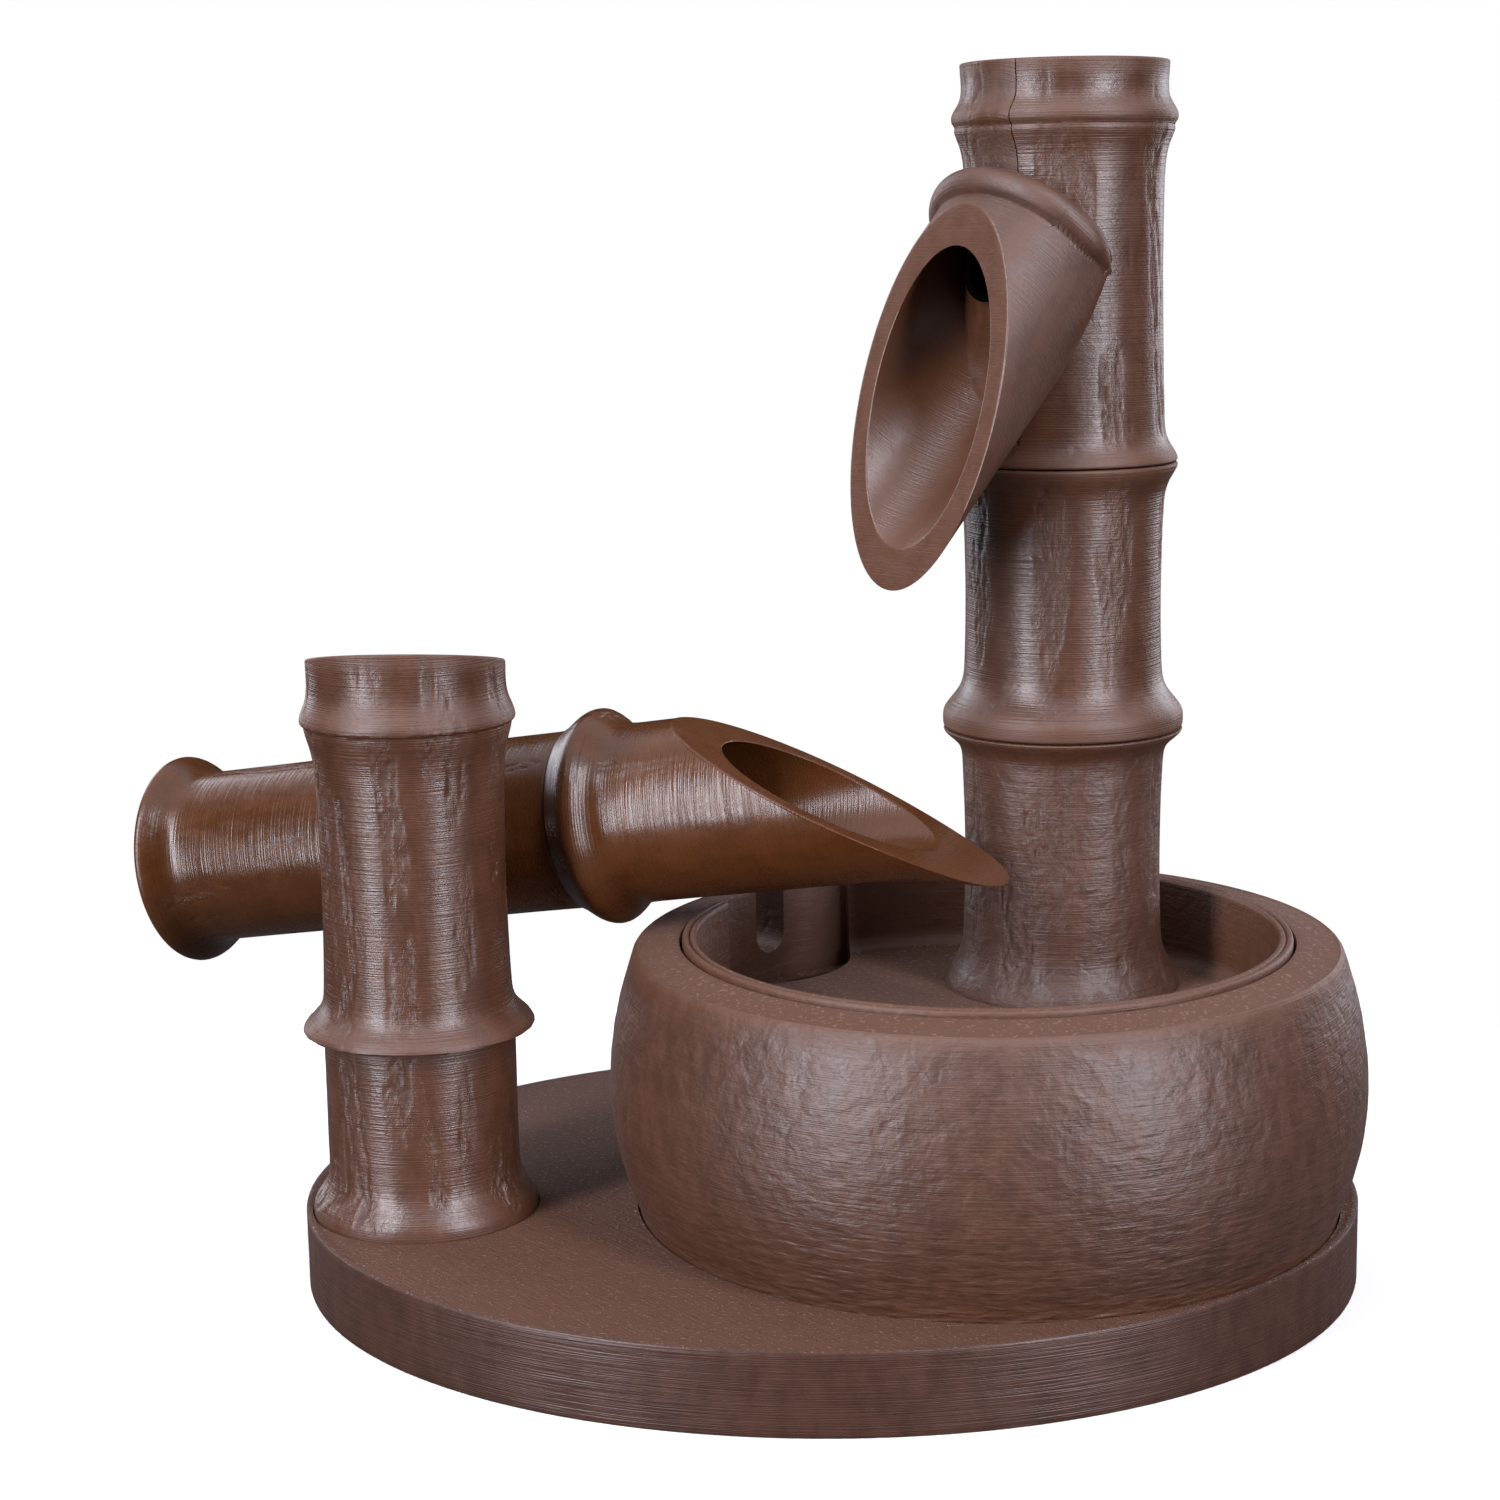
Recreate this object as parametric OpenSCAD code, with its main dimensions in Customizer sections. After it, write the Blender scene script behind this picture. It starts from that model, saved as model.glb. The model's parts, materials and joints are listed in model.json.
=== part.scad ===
// Tabletop bamboo fountain: an oval plate carries a bellied bowl and a bamboo post.
// A basin drops into the bowl's mouth and carries the bamboo column with its spout,
// a rocking scoop hangs behind the post, and a small pump stands in the bowl.
// Millimetres, +Z up. The origin is the centre of the plate's underside.

/* [Base plate] */
// Length of the oval plate, left to right
plate_len = 179; // [176:1:200]
// Depth of the oval plate, front to back
plate_dep = 151; // [148:1:170]
// Thickness of the plate
plate_t = 13.5; // [11:0.5:20]
// Wall left between the plate's edge and the post's foot
edge_wall = 2.4; // [2:0.1:5]
// Wall left between the plate's right edge and the bowl's recess
bowl_edge_wall = 3.6; // [3.4:0.1:6]

/* [Bowl] */
// Radius of the bowl at its widest
belly_r = 63.3; // [61:0.1:68]
// Radius of the bowl where it stands in the plate
bowl_foot_r = 58.8; // [56:0.1:60]
// Radius of the crease round the bowl's top face
bowl_brow_r = 58.8; // [56:0.1:60]
// Height of the bowl's widest line above the table
belly_z = 34; // [28:0.5:42]
// Height of the inner edge of the bowl's top face
bowl_top_z = 58.3; // [54:0.1:66]
// Fall of the bowl's top face, from its mouth to its brow
brow_fall = 1.2; // [0.4:0.1:3]
// Radius of the bowl's mouth
mouth_r = 51.1; // [50:0.1:53]
// Radius of the reservoir below the ledge
reservoir_r = 48; // [46:0.1:49]
// Thickness of the bowl's floor
bowl_floor_t = 3; // [2:0.5:5]
// Depth of the recess that the bowl stands in
bowl_sink = 6; // [3:0.5:8]
// Distance of the bowl's centre in front of the plate's middle line
bowl_forward = 4.8; // [3:0.1:5]
// Width of the notch for the pump's lead in the bowl's rim
notch_w = 7; // [5:0.5:12]
// Depth of that notch
notch_deep = 12; // [8:0.5:15]

/* [Basin] */
// Depth of the basin from its lip to its floor
basin_deep = 15; // [12:0.5:18]
// Thickness of the basin's floor
basin_floor_t = 3; // [2:0.25:4]
// Thickness of the basin's wall
basin_wall = 2.4; // [2:0.1:3.5]
// Height of the basin's lip above the bowl's top face
lip_proud = 0.9; // [0.3:0.1:2.5]
// Radius of the round bite at the back of the basin
bite_r = 19.5; // [15:0.5:21]
// Distance of the bite's centre from the bowl's centre
bite_out = 58; // [55:0.5:61]
// Direction of the bite, round the bowl from the right
bite_az = 137; // [130:1:145]

/* [Column] */
// Radius of the bamboo column at the waist of its sections
column_r = 16.7; // [16.5:0.1:18]
// Radius of the bore that the hose runs up
column_bore_r = 14.2; // [13:0.1:14.5]
// Distance of the column's axis from the bowl's centre
column_out = 26.2; // [24.2:0.5:28.2]
// Direction of the column, round the bowl from the right
column_az = 57; // [52:0.5:62]
// Height of the lower section above the basin's floor
lower_h = 45.8; // [40:0.2:52]
// Height of the middle section
middle_h = 45.4; // [40:0.2:52]
// Height of the top section
top_h = 65.8; // [62:0.2:78]
// Length of the spigots that plug the sections together
spigot_l = 6; // [4:0.5:9]
// Wall of a spigot
spigot_wall = 2.2; // [1.6:0.1:3]
// Width of the slot down the top section
slot_w = 9.6; // [9.6:0.1:10.6]

/* [Spout] */
// Direction of the spout, round the column from the right
spout_az = 223.5; // [216:0.5:230]
// Slope of the spout below the horizontal
spout_dip = 44.1; // [42:0.1:50]
// Radius of the spout
spout_r = 16; // [15:0.1:16.2]
// Radius of the spout's bore
spout_bore_r = 12.5; // [11:0.1:13]
// Distance from the top of the column down to where the spout's axis meets the column's
spout_drop = 22.2; // [20:0.1:26]
// Distance of the middle of the spout's cut face from the column's axis
spout_reach = 23.5; // [23:0.5:32]
// Lean of the cut face away from upright
spout_cut = 15.8; // [10:0.1:20]
// Place of the collar ring along the spout
collar_at = 12.5; // [12:0.5:15]

/* [Post] */
// Radius of the post at the waist of its sections
post_r = 15.7; // [15:0.1:17]
// Radius of the post's flared foot
foot_r = 18.9; // [18:0.1:19.5]
// Height of the post's upright front edge above the table
post_top_z = 109.9; // [105:0.5:116]
// Height of the lower node ring
node_low_z = 44.8; // [38:0.2:50]
// Height of the upper node ring
node_high_z = 96.6; // [94:0.2:99]
// Fall of the cut across the post's top, from front to back
top_cut = 11.4; // [6:0.1:16]
// Depth of the hollow in the post's top
post_hollow = 8; // [5:0.5:9]
// Radius of the spigot under the post's foot
post_plug_r = 13; // [10:0.5:14]
// Distance of the post in front of the plate's middle line
post_forward = 11; // [6:0.5:12]

/* [Rocker] */
// Radius of the rocker's tube
arm_r = 15.6; // [14.8:0.1:15.9]
// Wall of the rocker's tube
arm_wall = 3; // [2.4:0.1:3.4]
// Length of the tail, from the pivot to the flared end
tail_l = 67.4; // [60:0.2:72]
// Distance from the pivot to the joint of the tail and the scoop
joint_at = 15.4; // [14:0.2:17]
// Distance from the pivot to where the scoop's slanted cut starts
cut_from = 36; // [34:0.5:42]
// Distance from the pivot to the scoop's tip
tip_at = 90.5; // [86:0.5:93]
// Rise of the rocker towards its scoop, at rest
arm_tilt = 9; // [8:0.5:11]
// Turn of the rocker, from left-right towards the front
arm_yaw = 19.8; // [17:0.2:22]
// Height of the pivot above the table
pivot_z = 71.8; // [71.4:0.1:76]
// Distance from the post's axis to the rocker's axis
arm_off = 34.4; // [34:0.1:37]
// Radius of the pivot pin
pin_r = 2.5; // [2:0.1:3]
// Radius of the stop peg
peg_r = 2; // [1.5:0.1:2.5]
// Place of the stop peg along the tail
peg_at = 9; // [7:0.5:10]
// Length of the slug in the tail
slug_l = 26; // [20:0.5:36]

/* [Pump] */
// Length of the pump's housing
pump_len = 24.5; // [24:0.5:27]
// Width of the pump
pump_w = 28; // [27:0.5:31]
// Height of the pump's housing
pump_h = 21; // [21:0.5:22.5]
// Length of the intake cover
cover_l = 7; // [6:0.5:8]
// Height of the suction cups
cup_h = 4; // [3:0.25:5]
// Radius of the hose
hose_r = 4.5; // [4.2:0.1:4.5]
// Radius of the hose's bore
hose_bore_r = 3.2; // [2.9:0.1:3.4]
// Radius of the hose's bend at the top
hose_bend_r = 10.5; // [10:0.1:10.5]
// Blades on the impeller
blades = 6; // [4:1:8]
// Slots in the intake cover
cover_slots = 4; // [3:1:4]

/* [Hidden] */
$fn = 72;
bore_fn = 48;

// Clearances: a plugged fit, a loose gap round a dropped-in piece, and a running fit
plug_gap = 0.1;
drop_gap = 0.4;
run_gap = 0.06;
eps = 0.01;

// Side of the blocks that cut a face across a piece
cut_block = 300;

// Places on the plate
recess_r = bowl_foot_r + drop_gap;
foot_seat_r = foot_r + 0.2;
bowl_x = plate_len / 2 - recess_r - bowl_edge_wall;
bowl_y = -bowl_forward;
post_x = -plate_len / 2 + foot_seat_r + edge_wall;
post_y = -post_forward;

// Heights, from the table up
bowl_z = plate_t - bowl_sink;
reservoir_z = bowl_z + bowl_floor_t;
brow_z = bowl_top_z - brow_fall;
lip_z = bowl_top_z + lip_proud;
floor_z = lip_z - basin_deep;
ledge_z = floor_z - basin_floor_t;
joint_low_z = floor_z + lower_h;
joint_high_z = joint_low_z + middle_h;
column_top_z = joint_high_z + top_h;
basin_r = mouth_r - drop_gap;
basin_in_r = basin_r - basin_wall;
basin_fillet = 3;
lip_h = 1;

// The column's axis, and how far its rings and flares stand out from the bamboo
column_x = bowl_x + column_out * cos(column_az);
column_y = bowl_y + column_out * sin(column_az);
waist_swell = 0.8;
base_flare = 2.8;
thin_lip = 3.8;
low_ring = 4;
joint_lip = 2.6;
crown_ring = 1.8;
crown_at = 9;
spigot_r = column_bore_r + 0.9;
socket_r = spigot_r + plug_gap;

// The spout's axis and its collar
spout_z = column_top_z - spout_drop;
slot_r = slot_w / 2;
exit_drop = 12;
tongue_over = 5;
hose_exit_z = spout_z - exit_drop;
tongue_z = hose_exit_z + slot_r + tongue_over;
collar_r = 2.6;
spout_l = 90;

// The post
post_sink = 1.5;
post_wall = 2.6;
boss_root = 4;
post_seat_z = plate_t - post_sink;
plug_l = 7.5;
node_ring = 3.2;
crown_node = 1.4;
boss_r = 6;
washer_t = 1.4;

// The rocker, measured along its own axis from the pivot
flare_r = arm_r + 3.4;
arm_in_r = arm_r - arm_wall;
ring_rise = 3.2;
tip_flare = 2.6;
cup_from = joint_at + 2;
sleeve_r = 4.2;
plug_t = 4;
slug_r = arm_in_r - 0.1;
near_face = arm_off - arm_r - 0.4;
far_face = arm_off + arm_r + 0.4;
boss_face = near_face - washer_t - 0.2;
pin_deep = 8;
cap_t = 4;
cap_r = 5.5;
peg_drop = arm_r + 0.3 + peg_r;

// The pump: its own x runs along the rotor, its y towards the bowl's centre,
// from the column's axis
pump_z = reservoir_z + cup_h;
pump_front = -5;
pump_back = pump_front + pump_len;
pump_mid_y = 5;
pump_top_z = pump_z + pump_h;
rotor_z = pump_z + pump_h / 2;
pump_skin = 1.5;
pump_corner = 3;
cap_plate_t = 1.8;
chamber_r = 8.6;
chamber_back = 3;
seat_r = 9.8;
plate_thick = 1.6;
seal_t = 0.8;
well_r = 5.4;
well_end = pump_back - 1.5;
well_wall = 1.2;
magnet_r = 4.6;
shaft_r = 1;
wheel_r = 7.4;
wheel_hub_r = 3;
outlet_r = 2.2;
stub_l = 0.6;
slot_pitch = 4.8;
slot_gap_w = 2.4;
slot_tall = 9;
slider_t = 1.2;
slider_tall = 11;
slot_shift = 1.2;
rail_t = 1.4;
rail_lip = 0.8;
rail_inset = 3;
slider_gap = 0.15;
slider_tab = 1.6;
eye_r = 4.2;
eye_hub_r = 2;
spoke_w = 1.2;
blade_t = 1;
stem_r = 1.6;
gland_r = 2.4;
lead_r = 1.4;
flange_r = 4.4;
flange_t = 1.5;
nozzle_l = 10;
cup_inset = 5;
gland_y = pump_mid_y + 8;
gland_z = pump_z + 5.5;

brown = [0.36, 0.26, 0.22];
saddle = [0.41, 0.28, 0.17];

// A bump of height h on a radius at height z0, that fades over up above and down below
function bump(z, z0, h, up, down) =
    h * exp(-pow((z - z0) / (z >= z0 ? up : down), 2));

// A bamboo section's radius between two heights: waisted in the middle
function waisted(z, z0, z1, r) =
    r + waist_swell * pow((2 * z - z0 - z1) / (z1 - z0), 2);

// Radius of each column section's outside at height z
function lower_r(z) = waisted(z, floor_z, joint_low_z, column_r + 0.2)
    + bump(z, floor_z, base_flare, 4.6, 1)
    + bump(z, joint_low_z, thin_lip - waist_swell, 1, 2.4);
function middle_r(z) = waisted(z, joint_low_z, joint_high_z, column_r)
    + bump(z, joint_low_z + 2.2, low_ring - waist_swell, 3.6, 8)
    + bump(z, joint_high_z, joint_lip - waist_swell + 0.1, 1, 3.4);
function top_r(z) = waisted(z, joint_high_z, column_top_z, column_r - 0.1)
    + bump(z, joint_high_z, joint_lip - waist_swell + 0.1, 3, 1)
    + bump(z, column_top_z - crown_at, crown_ring, 2.4, 4.4);

// Radius of the post's outside at height z: three sections, each flared at its foot
function post_out_r(z) =
    z < node_low_z ? post_r + 0.3 + bump(z, post_seat_z + 2.5, foot_r - post_r - 0.3, 3.4, 9)
    : z < node_high_z
        ? waisted(z, node_low_z, node_high_z, post_r - 0.4)
            + bump(z, node_low_z + 0.4, node_ring, 2.8, 1)
        : post_r + 0.6 + bump(z, node_high_z + 0.5, crown_node, 3, 1);

// The heights that an outline steps through, with more of them near its ends
function steps(z0, z1, n) = [for (i = [0:n]) z0 + (z1 - z0) * (1 - cos(180 * i / n)) / 2];

// A solid of revolution from the axis out to a radius function of height
module turned(z0, z1, n, radius)
    rotate_extrude()
        polygon(concat([[0, z0]], [for (z = steps(z0, z1, n)) [radius(z), z]], [[0, z1]]));

// Moves its children to the column's axis, the bowl's centre or the post's axis
module at_column() translate([column_x, column_y, 0]) children();
module at_bowl() translate([bowl_x, bowl_y, 0]) children();
module at_post() translate([post_x, post_y, 0]) children();

// Turns x to the spout's direction, seen from the column's axis
module towards_spout() at_column() rotate([0, 0, spout_az]) children();

// Turns z to the spout's own axis, which runs out and down
module along_spout() towards_spout()
    translate([0, 0, spout_z]) rotate([0, 90 + spout_dip, 0]) children();

// Turns y to the pivot pin's direction, seen from the post's axis
module along_pin() at_post() rotate([0, 0, -arm_yaw]) children();

// Turns z to the rocker's own axis, from the pivot towards the scoop
module along_arm() along_pin()
    translate([0, arm_off, pivot_z]) rotate([0, 90 - arm_tilt, 0]) children();

// A cylinder along the pin's direction, from y = from to y = to
module pinwise(from, to, r)
    along_pin() translate([0, from, pivot_z]) rotate([-90, 0, 0])
        cylinder(r = r, h = to - from, $fn = bore_fn);

// The stop peg's cylinder, from y = from to y = to, under the tail
module pegwise(from, to, r)
    along_pin() translate([0, 0, pivot_z]) rotate([0, -arm_tilt, 0])
        translate([-peg_at, from, -peg_drop]) rotate([-90, 0, 0])
            cylinder(r = r, h = to - from, $fn = bore_fn);

// Moves its children to the pump's own frame
module at_pump() at_column() rotate([0, 0, column_az + 90]) children();

// A cylinder along the rotor, from x = from to x = to
module rotorwise(from, to, r, fn = bore_fn)
    translate([from, pump_mid_y, rotor_z]) rotate([0, 90, 0])
        cylinder(r = r, h = to - from, $fn = fn);

// A block of the pump's outline with rounded upright edges
module pump_block(from, to, inset = 0) {
    w = pump_w - 2 * inset;
    h = pump_h - 2 * inset;
    c = max(pump_corner - inset, 0.5);
    translate([from, pump_mid_y, rotor_z]) rotate([0, 90, 0]) linear_extrude(to - from) {
        square([h - 2 * c, w], center = true);
        square([h, w - 2 * c], center = true);
        for (i = [-1, 1], j = [-1, 1])
            translate([i * (h / 2 - c), j * (w / 2 - c)]) circle(r = c, $fn = 32);
    }
}

// Oval plate with the bowl's recess, and the seat and socket of the post
module base_plate() color(brown) difference() {
    linear_extrude(plate_t) polygon([for (i = [0:119])
        [plate_len / 2 * cos(3 * i), plate_dep / 2 * sin(3 * i)]]);
    at_bowl() translate([0, 0, bowl_z]) cylinder(r = recess_r, h = bowl_sink + 1);
    at_post() translate([0, 0, post_seat_z]) cylinder(r = foot_seat_r, h = 3);
    at_post() translate([0, 0, post_seat_z - plug_l])
        cylinder(r = post_plug_r + plug_gap, h = plug_l + 1);
}

// The bowl's belly: round below its widest line and above it
function belly(z) = z < belly_z
    ? belly_r - (belly_r - bowl_foot_r) * pow((belly_z - z) / (belly_z - plate_t), 2)
    : belly_r - (belly_r - bowl_brow_r) * pow((z - belly_z) / (brow_z - belly_z), 2);

// Bellied bowl: reservoir, ledge for the basin, mouth and the lead's notch at the back
module bowl() color(brown) at_bowl() difference() {
    rotate_extrude() polygon(concat(
        [[0, bowl_z], [bowl_foot_r, bowl_z]],
        [for (i = [0:14]) let (z = plate_t + (brow_z - plate_t) * i / 14) [belly(z), z]],
        [[bowl_brow_r - 0.4, brow_z + 0.35], [mouth_r, bowl_top_z], [mouth_r, ledge_z],
         [reservoir_r, ledge_z], [reservoir_r, reservoir_z], [0, reservoir_z]]));
    rotate([0, 0, bite_az]) translate([0, 0, bowl_top_z - notch_deep]) {
        translate([mouth_r - 6, -notch_w / 2, notch_w / 2])
            cube([belly_r - mouth_r + 12, notch_w, notch_deep]);
        translate([mouth_r - 6, 0, notch_w / 2]) rotate([0, 90, 0])
            cylinder(d = notch_w, h = belly_r - mouth_r + 12, $fn = 32);
    }
}

// Basin and lowest column section in one: a double lip round the wall, a filleted floor
module basin() color(brown) difference() {
    union() {
        at_bowl() rotate_extrude() polygon(concat(
            [[0, ledge_z], [basin_r, ledge_z], [basin_r, lip_z - lip_h]],
            lip_arc(basin_r - basin_wall * 0.25), lip_arc(basin_r - basin_wall * 0.75),
            [[basin_in_r, lip_z - lip_h]],
            [for (a = [0:15:90])
                [basin_in_r - basin_fillet * (1 - cos(a)), floor_z + basin_fillet * (1 - sin(a))]],
            [[0, floor_z]]));
        at_column() turned(floor_z - 0.5, joint_low_z, 26, function (z) lower_r(max(z, floor_z)));
    }
    at_column() translate([0, 0, ledge_z - 1])
        cylinder(r = column_bore_r, h = joint_low_z - ledge_z + 2, $fn = bore_fn);
    at_column() translate([0, 0, joint_low_z - spigot_l - 0.3])
        cylinder(r = socket_r, h = spigot_l + 1, $fn = bore_fn);
    at_bowl() rotate([0, 0, bite_az]) translate([bite_out, 0, ledge_z - 1])
        cylinder(r = bite_r, h = basin_deep + basin_floor_t + 2);
}

// One of the two rounded beads of the basin's lip, as points of its outline
function lip_arc(r) = [for (a = [20:35:160])
    [r + basin_wall * 0.24 * cos(a), lip_z - 0.6 + 0.6 * sin(a)]];

// A column section's hollow: narrow in its spigot, a cone above it, and a socket at its top
module section_bore(z0, z1, socket) {
    mouth_z = socket ? z1 - spigot_l - 0.3 : z1;
    end_r = socket ? socket_r : column_bore_r;
    rotate_extrude() polygon([
        [0, z0 - spigot_l - 1], [spigot_r - spigot_wall, z0 - spigot_l - 1],
        [spigot_r - spigot_wall, z0], [column_bore_r, z0 + 3], [column_bore_r, mouth_z],
        [end_r, mouth_z], [end_r, z1 + 1], [0, z1 + 1]]);
}

module spigot(z0) translate([0, 0, z0 - spigot_l])
    cylinder(r = spigot_r, h = spigot_l + 1, $fn = bore_fn);

// Middle section of the column
module column_middle() color(brown) at_column() difference() {
    union() {
        turned(joint_low_z, joint_high_z, 28, function (z) middle_r(z));
        spigot(joint_low_z);
    }
    section_bore(joint_low_z, joint_high_z, true);
}

// The slot's own space: a round seat for the hose, open up to the column's top
module slot_space(half, from) towards_spout() {
    translate([0, -half, from]) cube([column_r + 8, 2 * half, column_top_z - from + 1]);
    if (from == hose_exit_z)
        translate([0, 0, from]) rotate([0, 90, 0])
            cylinder(r = half, h = column_r + 8, $fn = bore_fn);
}

// Top section of the column, with its crown ring and the slot for the spout's tongue
module column_top() color(brown) difference() {
    at_column() union() {
        turned(joint_high_z, column_top_z, 40, function (z) top_r(z));
        spigot(joint_high_z);
    }
    at_column() section_bore(joint_high_z, column_top_z, false);
    slot_space(slot_r, hose_exit_z);
}

// Slanted spout with its collar; its tongue carries the column's wall and crown ring
module spout() color(brown) difference() {
    union() {
        along_spout() cylinder(r = spout_r, h = spout_l);
        along_spout() translate([0, 0, collar_at]) rotate_extrude()
            translate([spout_r - 0.2, 0]) circle(r = collar_r, $fn = 24);
        intersection() {
            at_column() turned(joint_high_z, column_top_z, 40, function (z) top_r(z));
            slot_space(slot_r - plug_gap, tongue_z);
        }
    }
    difference() {
        at_column() turned(joint_high_z, column_top_z + 20, 40,
            function (z) top_r(min(z, column_top_z)) + plug_gap);
        slot_space(slot_r - plug_gap, tongue_z);
    }
    at_column() translate([0, 0, joint_high_z])
        cylinder(r = column_bore_r, h = top_h + 1, $fn = bore_fn);
    along_spout() translate([0, 0, -2]) cylinder(r = spout_bore_r, h = spout_l + 4, $fn = bore_fn);
    towards_spout() translate([spout_reach, 0, spout_z]) rotate([0, -spout_cut, 0])
        translate([0, -cut_block / 2, -cut_block / 2]) cube(cut_block);
    towards_spout() translate([-cut_block, -cut_block / 2, spout_z - cut_block / 2])
        cube(cut_block);
}

// Bamboo post: flared foot on a spigot, two node rings, a slanted cut across its hollow top
module post() color(brown) difference() {
    union() {
        at_post() turned(post_seat_z, node_low_z - eps, 14, function (z) post_out_r(z));
        at_post() turned(node_low_z - 2 * eps, node_high_z - eps, 26,
            function (z) post_out_r(max(z, node_low_z)));
        at_post() turned(node_high_z - 2 * eps, post_top_z, 12,
            function (z) post_out_r(max(z, node_high_z)));
        at_post() translate([0, 0, post_seat_z - plug_l + 0.3])
            cylinder(r = post_plug_r, h = plug_l, $fn = bore_fn);
        pinwise(boss_root, boss_face, boss_r);
    }
    at_post() translate([0, 0, post_top_z - post_hollow - 3])
        cylinder(r = post_r - post_wall, h = post_hollow + 4, $fn = bore_fn);
    at_post() translate([0, -post_r, post_top_z]) rotate([-top_cut, 0, 0])
        translate([-cut_block / 2, -cut_block / 2, 0]) cube(cut_block);
    pinwise(pin_deep, boss_face + 1, pin_r);
    pegwise(pin_deep, arm_off, peg_r);
}

// Tail of the rocker: bamboo tube with a flared end, and the pivot sleeve's two holes
module rocker_tail() color(saddle) difference() {
    along_arm() rotate_extrude() polygon(concat(
        [[arm_in_r, -tail_l], [flare_r - 0.8, -tail_l]],
        [for (k = steps(-tail_l + 1, joint_at, 20))
            [arm_r + bump(k, -tail_l + 1.2, flare_r - arm_r, 3.6, 1), k]],
        [[arm_in_r, joint_at]]));
    pinwise(near_face, far_face, sleeve_r);
}

// How far the scoop's outside stands out from its tube: node ring behind, flare at the tip
function scoop_rise(k) = bump(k, joint_at + 5.4, ring_rise, 3, 4)
    + bump(k, tip_at + 2, tip_flare, 8, 13);

// Scoop: node ring, closed end, and the slanted cut that opens its cup
module rocker_scoop() color(saddle) difference() {
    along_arm() union() {
        rotate_extrude() polygon(concat(
            [[0, joint_at], [arm_r, joint_at]],
            [for (k = [joint_at + 0.8:1.2:joint_at + 11]) [arm_r + scoop_rise(k), k]],
            [for (k = [joint_at + 13:5:tip_at + 10]) [arm_r + scoop_rise(k), k]],
            [[0, tip_at + 10]]));
        translate([0, 0, joint_at - spigot_l])
            cylinder(r = arm_in_r - plug_gap, h = spigot_l + 1, $fn = bore_fn);
    }
    along_arm() rotate_extrude() polygon(concat(
        [[0, cup_from], [arm_in_r, cup_from]],
        [for (k = [joint_at + 13:5:tip_at + 12]) [arm_in_r + scoop_rise(k), k]],
        [[0, tip_at + 12]]));
    along_arm() translate([-arm_r, 0, cut_from])
        rotate([0, atan2(2 * arm_r + tip_flare, tip_at - cut_from), 0])
            translate([-cut_block, -cut_block / 2, -cut_block / 2]) cube(cut_block);
}

// Plug in the open end of the tail
module tail_plug() color(saddle) along_arm() translate([0, 0, -tail_l + 1]) {
    cylinder(r = arm_in_r - plug_gap, h = plug_t, $fn = bore_fn);
}

// Slug in the tail that brings the rocker back down on its stop
module rocker_ballast() color("dimgray") along_arm() translate([0, 0, -tail_l + 1 + plug_t])
    cylinder(r = slug_r, h = slug_l, $fn = bore_fn);

// Sleeve across the rocker that turns on the pin
module pivot_sleeve() color("silver") difference() {
    pinwise(near_face, far_face, sleeve_r);
    pinwise(near_face - 1, far_face + 1, pin_r + run_gap);
}

// Pin that stands out of the back of the post
module pivot_pin() color("silver") pinwise(pin_deep, far_face + cap_t - 1, pin_r);

// Washer between the post's boss and the rocker
module pivot_washer() color("silver") difference() {
    pinwise(boss_face, boss_face + washer_t, cap_r);
    pinwise(boss_face - 1, boss_face + washer_t + 1, pin_r + run_gap);
}

// Cap on the far end of the pin
module pin_cap() color(brown) difference() {
    pinwise(far_face + 0.2, far_face + 0.2 + cap_t, cap_r);
    pinwise(far_face, far_face + cap_t - 1, pin_r);
}

// Peg that the tail rests on
module stop_peg() color("silver") pegwise(pin_deep, arm_off + 3, peg_r);

// The hose's run at radius r: up the column, round a quarter bend, out into the spout
module hose_run(r, over) {
    start_z = pump_top_z + flange_t - over;
    turn_z = hose_exit_z - hose_bend_r;
    at_column() translate([0, 0, start_z])
        cylinder(r = r, h = turn_z - start_z, $fn = bore_fn);
    towards_spout() translate([hose_bend_r, 0, turn_z]) rotate([90, 0, 0]) intersection() {
        rotate_extrude() translate([hose_bend_r, 0]) circle(r = r, $fn = bore_fn);
        translate([-2 * hose_bend_r, 0, -r - 1])
            cube([2 * hose_bend_r, 2 * hose_bend_r, 2 * r + 2]);
    }
    towards_spout() translate([hose_bend_r, 0, hose_exit_z]) rotate([0, 90, 0])
        cylinder(r = r, h = column_r + 2.5 - hose_bend_r + over, $fn = bore_fn);
}

// Hose from the pump up the column, bent over into the spout
module riser_hose() color("black") difference() {
    hose_run(hose_r, 0);
    hose_run(hose_bore_r, 1);
}

// Housing: pump chamber and rotor well in front, room for the stator behind
module pump_housing() color([0.16, 0.17, 0.19]) at_pump() difference() {
    pump_block(pump_front, pump_back);
    rotorwise(pump_front - 1, pump_front + plate_thick + seal_t, seat_r);
    rotorwise(pump_front, chamber_back, chamber_r);
    rotorwise(chamber_back - 1, well_end - 1, well_r);
    rotorwise(well_end - 2, well_end - 0.4, shaft_r);
    difference() {
        pump_block(chamber_back + 2, pump_back + 1, pump_skin);
        rotorwise(chamber_back, well_end, well_r + well_wall);
    }
    translate([0, 0, rotor_z]) cylinder(r = outlet_r, h = pump_h, $fn = bore_fn);
    translate([0, 0, pump_top_z - stub_l]) cylinder(r = hose_bore_r, h = 4, $fn = bore_fn);
    cup_places() translate([0, 0, pump_z - 1]) cylinder(r = stem_r, h = 2.2, $fn = 24);
}

// The four places of the suction cups under the housing
module cup_places() for (x = [pump_front + 3, pump_back - 4],
                         y = [pump_mid_y - pump_w / 2 + cup_inset,
                              pump_mid_y + pump_w / 2 - cup_inset])
    translate([x, y, 0]) children();

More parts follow.
